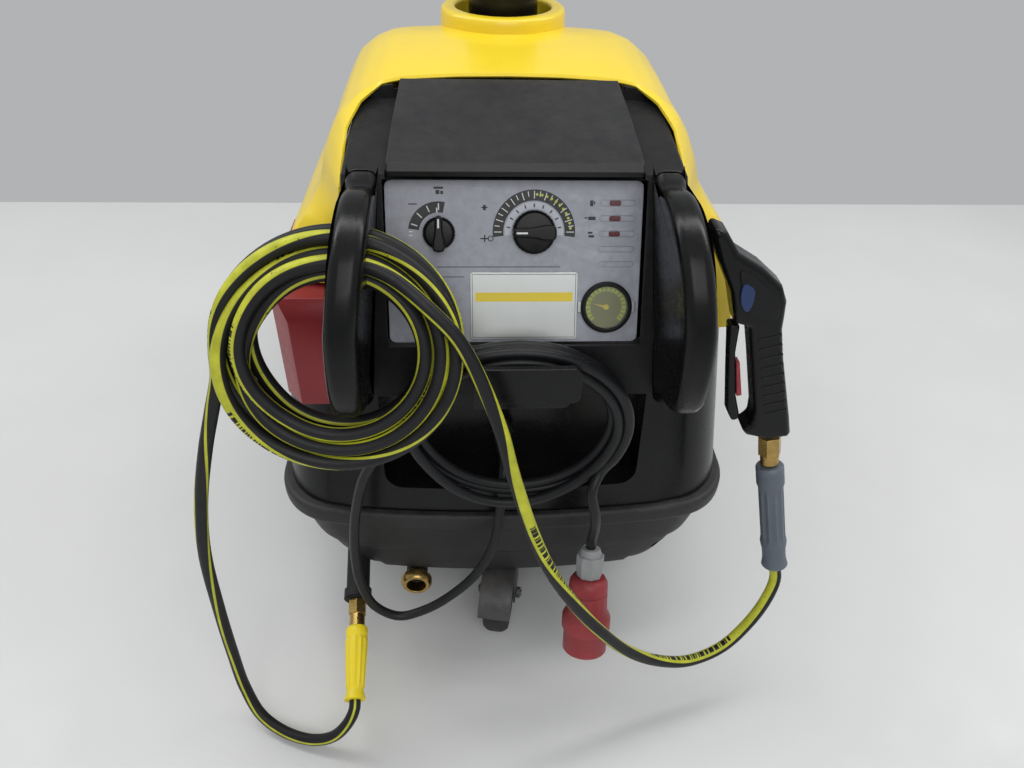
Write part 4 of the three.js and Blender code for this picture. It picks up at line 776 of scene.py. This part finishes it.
TX, TS = 20.7, 50.3
SX, SS = -81.2, 51.4
prints("scale_black", [arc(TX, TS, 33, 44.5, -97, 97, 60), arc(SX, SS, 21.5, 33, -82, 12, 30)], 'ink_black', 0.02, 0.22)
prints("scale_inner", [arc(TX, TS, 24.5, 31.5, -97, 97, 60)], 'ring_grey', 0.02, 0.2)
w = [tick(TX, TS, 37.5 if k % 2 else 35, 43, a, 0.45) for k, a in enumerate(np.arange(-90, 91, 9.0))]
w += [tick(SX, SS, 24, 31, a, 0.6) for a in (-72, -48, -24, 0)] + [rect(SX - 2.6, SX - 1.2, 25, 30), rect(SX - 32, SX - 28, SS - 2.0, SS - 0.8), rect(SX - 32, SX - 28, SS + 2, SS + 3.2)]
prints("scale_ticks", w, 'ink_white', 0.22, 0.36)
prints("scale_dots", [arc(TX + 39.5 * math.sin(rad(a)), TS - 39.5 * math.cos(rad(a)), 0.01, 1.5, 0, 350, 10) for a in np.arange(4, 92, 8.0)], 'ink_green', 0.37, 0.5)
prints("scale_marks", [tick(TX, TS, 26.0, 30.0, a, 0.7) for a in np.arange(-80, 81, 20)], 'ink_black', 0.21, 0.33)
ic = [rect(80.5, 84, 17, 23), rect(84.6, 86, 18, 21), rect(75, 78, 34.6, 36), rect(79, 87, 34, 37.6), rect(79, 84, 50, 52), rect(80, 86, 53.6, 56), rect(-36, -29, 24, 25.2), rect(-34, -31, 22, 27.5),
      rect(-37, -28, 56.6, 58), rect(-33, -31.6, 53.5, 61), rect(-86, -76, 3.4, 5.6), rect(-84, -80, 6.6, 11), rect(-79, -76, 7.6, 11), rect(-113, -104, 20.6, 21.8)]
prints("icons", ic + [arc(-26, 57.3, 2.2, 3.2, 0, 350, 14)], 'ink_black', 0.02, 0.2)
prints("panel_line", [rect(-84, 50, 87.2, 88.2)], 'seam', 0.02, 0.16)
prints("panel_frame", [[(-126, 98), (-55, 98), (-55, 98.9), (-126, 98.9)]], 'seam', 0.02, 0.16)
prints("slot_floor", [rect(92.5, 128.5, s - 2.6, s + 2.6) for s in [19.7, 36, 52.3, 68.6, 84.8]], 'panel_grey', -1.55, -1.3)
plate = remake('label_plate', 'plate', 0.4, 2, 40)
prints("label_bar", [rect(-43, 64, 115.5, 125.5)], 'ink_yellow', 1.2, 1.36)
prints("label_edge", [rect(-46.5, 67.5, 95.4, 96.0), rect(-46.5, 67.5, 165.4, 166.0), rect(-46.5, -45.9, 96.0, 165.4), rect(66.9, 67.5, 96.0, 165.4)], 'seam', 1.2, 1.28)
for n in ('led_top', 'led_middle', 'led_low'):
    remake(n, 'led_red', 0.35, 2, 30)

def knob(node, x, s, r, grip, gw, dirn, body):
    o = on_panel(x, s, 0)
    base = lathe("kb", fillet([(0, 0.3), (r, 0.3), (r, 5), (r - 3.0, 8.2), (0, 8.2)], 1.2, 3), o, PN, 64, (lambda t, rr, h: -0.5 * (0.5 + 0.5 * math.cos(28 * t)) if rr > r - 1 and 0.8 < h < 6 else 0))
    a = rad(dirn); ux, us = math.sin(a), -math.cos(a)
    q = lambda l, w_: (x + ux * l - us * w_, s + us * l + ux * w_)
    side_ = [q(-grip, -gw * 0.8), q(-grip * 0.55, -gw), q(0, -gw * 0.72), q(grip * 0.6, -gw * 0.62), q(grip, -gw * 0.5), q(grip, gw * 0.5), q(grip * 0.6, gw * 0.62), q(0, gw * 0.72), q(-grip * 0.55, gw), q(-grip, gw * 0.8)]
    bar = bevelled(prism("bar", loopcurve(side_, 3), 4, 17, lambda a_, b_, h: on_panel(a_, b_, h)), 2.2, 4, 60, 50)
    link(node + "_skin", joined(node, [base, bar]), 'smooth_black', body, (node,))
    ln = [q(grip * 0.35, -0.9), q(grip - 2.5, -0.9), q(grip - 2.5, 0.9), q(grip * 0.35, 0.9)]
    prints(node + "_mark", [ln], 'ink_white', 16.8, 17.3, body)
knob('selector_knob', SX, SS, 17.5, 18, 6.5, 0, 'selector')
knob('temperature_knob', TX, TS, 23.5, 22, 8, -90, 'temperature')
GX, GS = 101.9, 132.1
o = on_panel(GX, GS, 0)
link("gauge_body_skin", lathe("gb", fillet([(0, -24), (26, -24), (26, 0.3), (28.5, 0.3), (28.5, 4.5), (26, 6.2), (23.6, 6.2), (23.6, -1), (0, -1)], 1.0, 3, (3, 4, 5, 6)), o, PN, 80), 'black', 'machine', ('gauge_body',))
prints("gauge_face", [arc(GX, GS, 0.01, 23.4, 0, 359.9, 60)], 'dial', -0.98, -0.85)
prints("gauge_ring", [arc(GX, GS, 17.5, 22.2, -135, 135, 60)], 'ink_green', -0.84, -0.7)
prints("gauge_ticks", [tick(GX, GS, 17.8, 21.8, a, 0.35) for a in np.arange(-126, 127, 14)], 'ink_black', -0.69, -0.6)
remake('gauge_needle', 'ink_yellow', 0, name="gauge_needle_skin")
link("gauge_lens_skin", lathe("gl", [(0, 3.4), (23.2, 3.4), (23.2, 5.0), (16, 5.5), (8, 5.8), (0, 5.9)], o, PN, 64), 'glass', 'machine', ('gauge_lens',))
clip = []
for sg in (-1, 1):
    clip.append(bevelled(prism("clip", rect(GX + sg * 30.0 - 2.2, GX + sg * 30.0 + 2.2, GS - 6, GS + 6), 0.1, 2.2, lambda a_, b_, h: on_panel(a_, b_, h)), 0.7, 3, 40))
link("gauge_clips", joined("clips", clip), 'steel', 'machine')

# ------------------------------------------------------------------ wheels and castor
def wheel(tag, c, ax, R, prof_t, prof_w, tread, ntr, body, mat_w):
    def rm(t, r, h):
        return -tread * (1 if math.sin(ntr * t) > 0.55 else 0) if r > R - 1.5 else 0
    link(tag + "_tyre_skin", lathe(tag + "t", prof_t, c, ax, 192 if ntr else 96, rm if ntr else None), 'tyre', body, (NT[tag][0],))
    link(tag + "_rim_skin", lathe(tag + "w", prof_w, c, ax, 72), mat_w, body, (NT[tag][1],))
NT = {'left': ('tyre_left', 'wheel_left'), 'right': ('tyre_right', 'wheel_right'), 'castor': ('castor_tyre', 'castor_wheel')}
h = 29
for tag, sg in (('left', -1), ('right', 1)):
    wheel(tag, (sg * 278, 300, 110), (sg, 0, 0), 110,
          fillet([(78.3, -h + 6), (100, -h), (107, -h + 5), (110, -h + 14), (110, -5), (108, -4.2), (108, 4.2), (110, 5), (110, h - 14), (107, h - 5), (100, h), (78.3, h - 6)], 2.2),
          fillet([(10.4, -h + 2), (26, -h + 2), (26, -6), (66, -6), (66, -h + 6), (78, -h + 6), (78, h - 6), (66, h - 6), (66, 6), (26, 6), (26, h - 4), (10.4, h - 4)], 2.0),
          1.8, 40, 'wheel_l' if sg < 0 else 'wheel_r', 'sleeve_grey')
ya = rad(10)
cx, cy = -math.sin(ya) * 40, -315 - math.cos(ya) * 40
h = 19
wheel('castor', (cx, cy, 62.5), (math.cos(ya), -math.sin(ya), 0), 62.5,
      fillet([(44.3, -h + 2), (56, -h), (61.5, -h + 7), (62.5, -h + 12), (62.5, h - 12), (61.5, h - 7), (56, h), (44.3, h - 2)], 2.0),
      fillet([(5.4, -h), (18, -h), (18, -5), (38, -5), (38, -h + 3), (44, -h + 3), (44, h - 3), (38, h - 3), (38, 5), (18, 5), (18, h), (5.4, h)], 1.2), 0, 0, 'castor_roller', 'tub_grey')
for n, mt, w_ in (('rear_axle', 'zinc', 0.8), ('castor_plate', 'zinc', 0.8), ('castor_fork', 'zinc', 0.5), ('castor_axle', 'zinc', 0.6), ('pressure_outlet', 'rubber', 1.2), ('inlet_neck', 'rubber', 1.0), ('inlet_ring', 'brass', 0.8),
                  ('fuel_cap', 'black', 1.2), ('hood_latch', 'black', 0.8), ('boiler_casing', 'steel', 1.0), ('boiler_coil', 'steel', 0), ('blower', 'motor_grey', 2.0), ('motor', 'motor_grey', 2.0), ('pump', 'steel', 2.0),
                  ('pump_shaft', 'zinc', 0.5), ('float_tank', 'tank_white', 2.0), ('detergent_tank', 'tank_white', 2.0)):
    remake(n, mt, w_, 2, 40)

# ------------------------------------------------------------------ floor, light
m = bpy.data.materials.new("floor_pale")
nt, p = nodes_of(m)
tc = nt.nodes.new("ShaderNodeTexCoord").outputs["Object"]
c = mixc(nt, ramp(nt, noise(nt, tc, 1.6, 6, 0.6), 0.3, 0.7), (0.66, 0.665, 0.66), (0.71, 0.715, 0.71))
c = mixc(nt, val(nt, 'MULTIPLY', ramp(nt, noise(nt, tc, 40, 6, 0.75), 0.70, 0.76), 0.15), c, (0.5, 0.49, 0.46))
nt.links.new(c, p.inputs["Base Color"])
nt.links.new(val(nt, 'ADD', 0.34, val(nt, 'MULTIPLY', ramp(nt, noise(nt, tc, 9, 5, 0.6), 0.3, 0.7), 0.14)), p.inputs["Roughness"])
b = nt.nodes.new("ShaderNodeBump"); b.inputs["Strength"].default_value = 0.06; b.inputs["Distance"].default_value = 0.001
nt.links.new(noise(nt, tc, 70, 4, 0.6), b.inputs["Height"]); nt.links.new(b.outputs[0], p.inputs["Normal"])
M['floor'] = m
floor_me = raw("floor", [(-30000, -30000, -0.5), (30000, -30000, -0.5), (30000, 1180, -0.5), (-30000, 1180, -0.5)], [(0, 1, 2, 3)])
fl = bpy.data.objects.new("floor", floor_me); scene.collection.objects.link(fl); floor_me.materials.append(m)
world = bpy.data.worlds.new("studio"); scene.world = world
world.use_nodes = True
bg = world.node_tree.nodes["Background"]
bg.inputs[0].default_value = (0.80, 0.815, 0.835, 1)
bg.inputs[1].default_value = 0.55
def area(name, loc, target, size, power, col=(1, 1, 1), sy=None):
    l = bpy.data.lights.new(name, 'AREA'); l.energy = power; l.size = size; l.color = col
    if sy: l.shape = 'RECTANGLE'; l.size_y = sy
    ob = bpy.data.objects.new(name, l); scene.collection.objects.link(ob)
    ob.location = loc
    ob.rotation_euler = (Vector(target) - Vector(loc)).to_track_quat('-Z', 'Y').to_euler()
    return ob
area("strip_left", (-1.3, 0.3, 2.6), (0, -0.1, 0.5), 0.5, 31, (1, 1, 0.99), 3.2)
area("strip_right", (1.3, 0.2, 2.6), (0, -0.1, 0.5), 0.5, 31, (1, 1, 0.99), 3.2)
area("front_fill", (0.2, -2.4, 2.2), (0, -0.2, 0.4), 1.8, 24, (1, 1, 1))
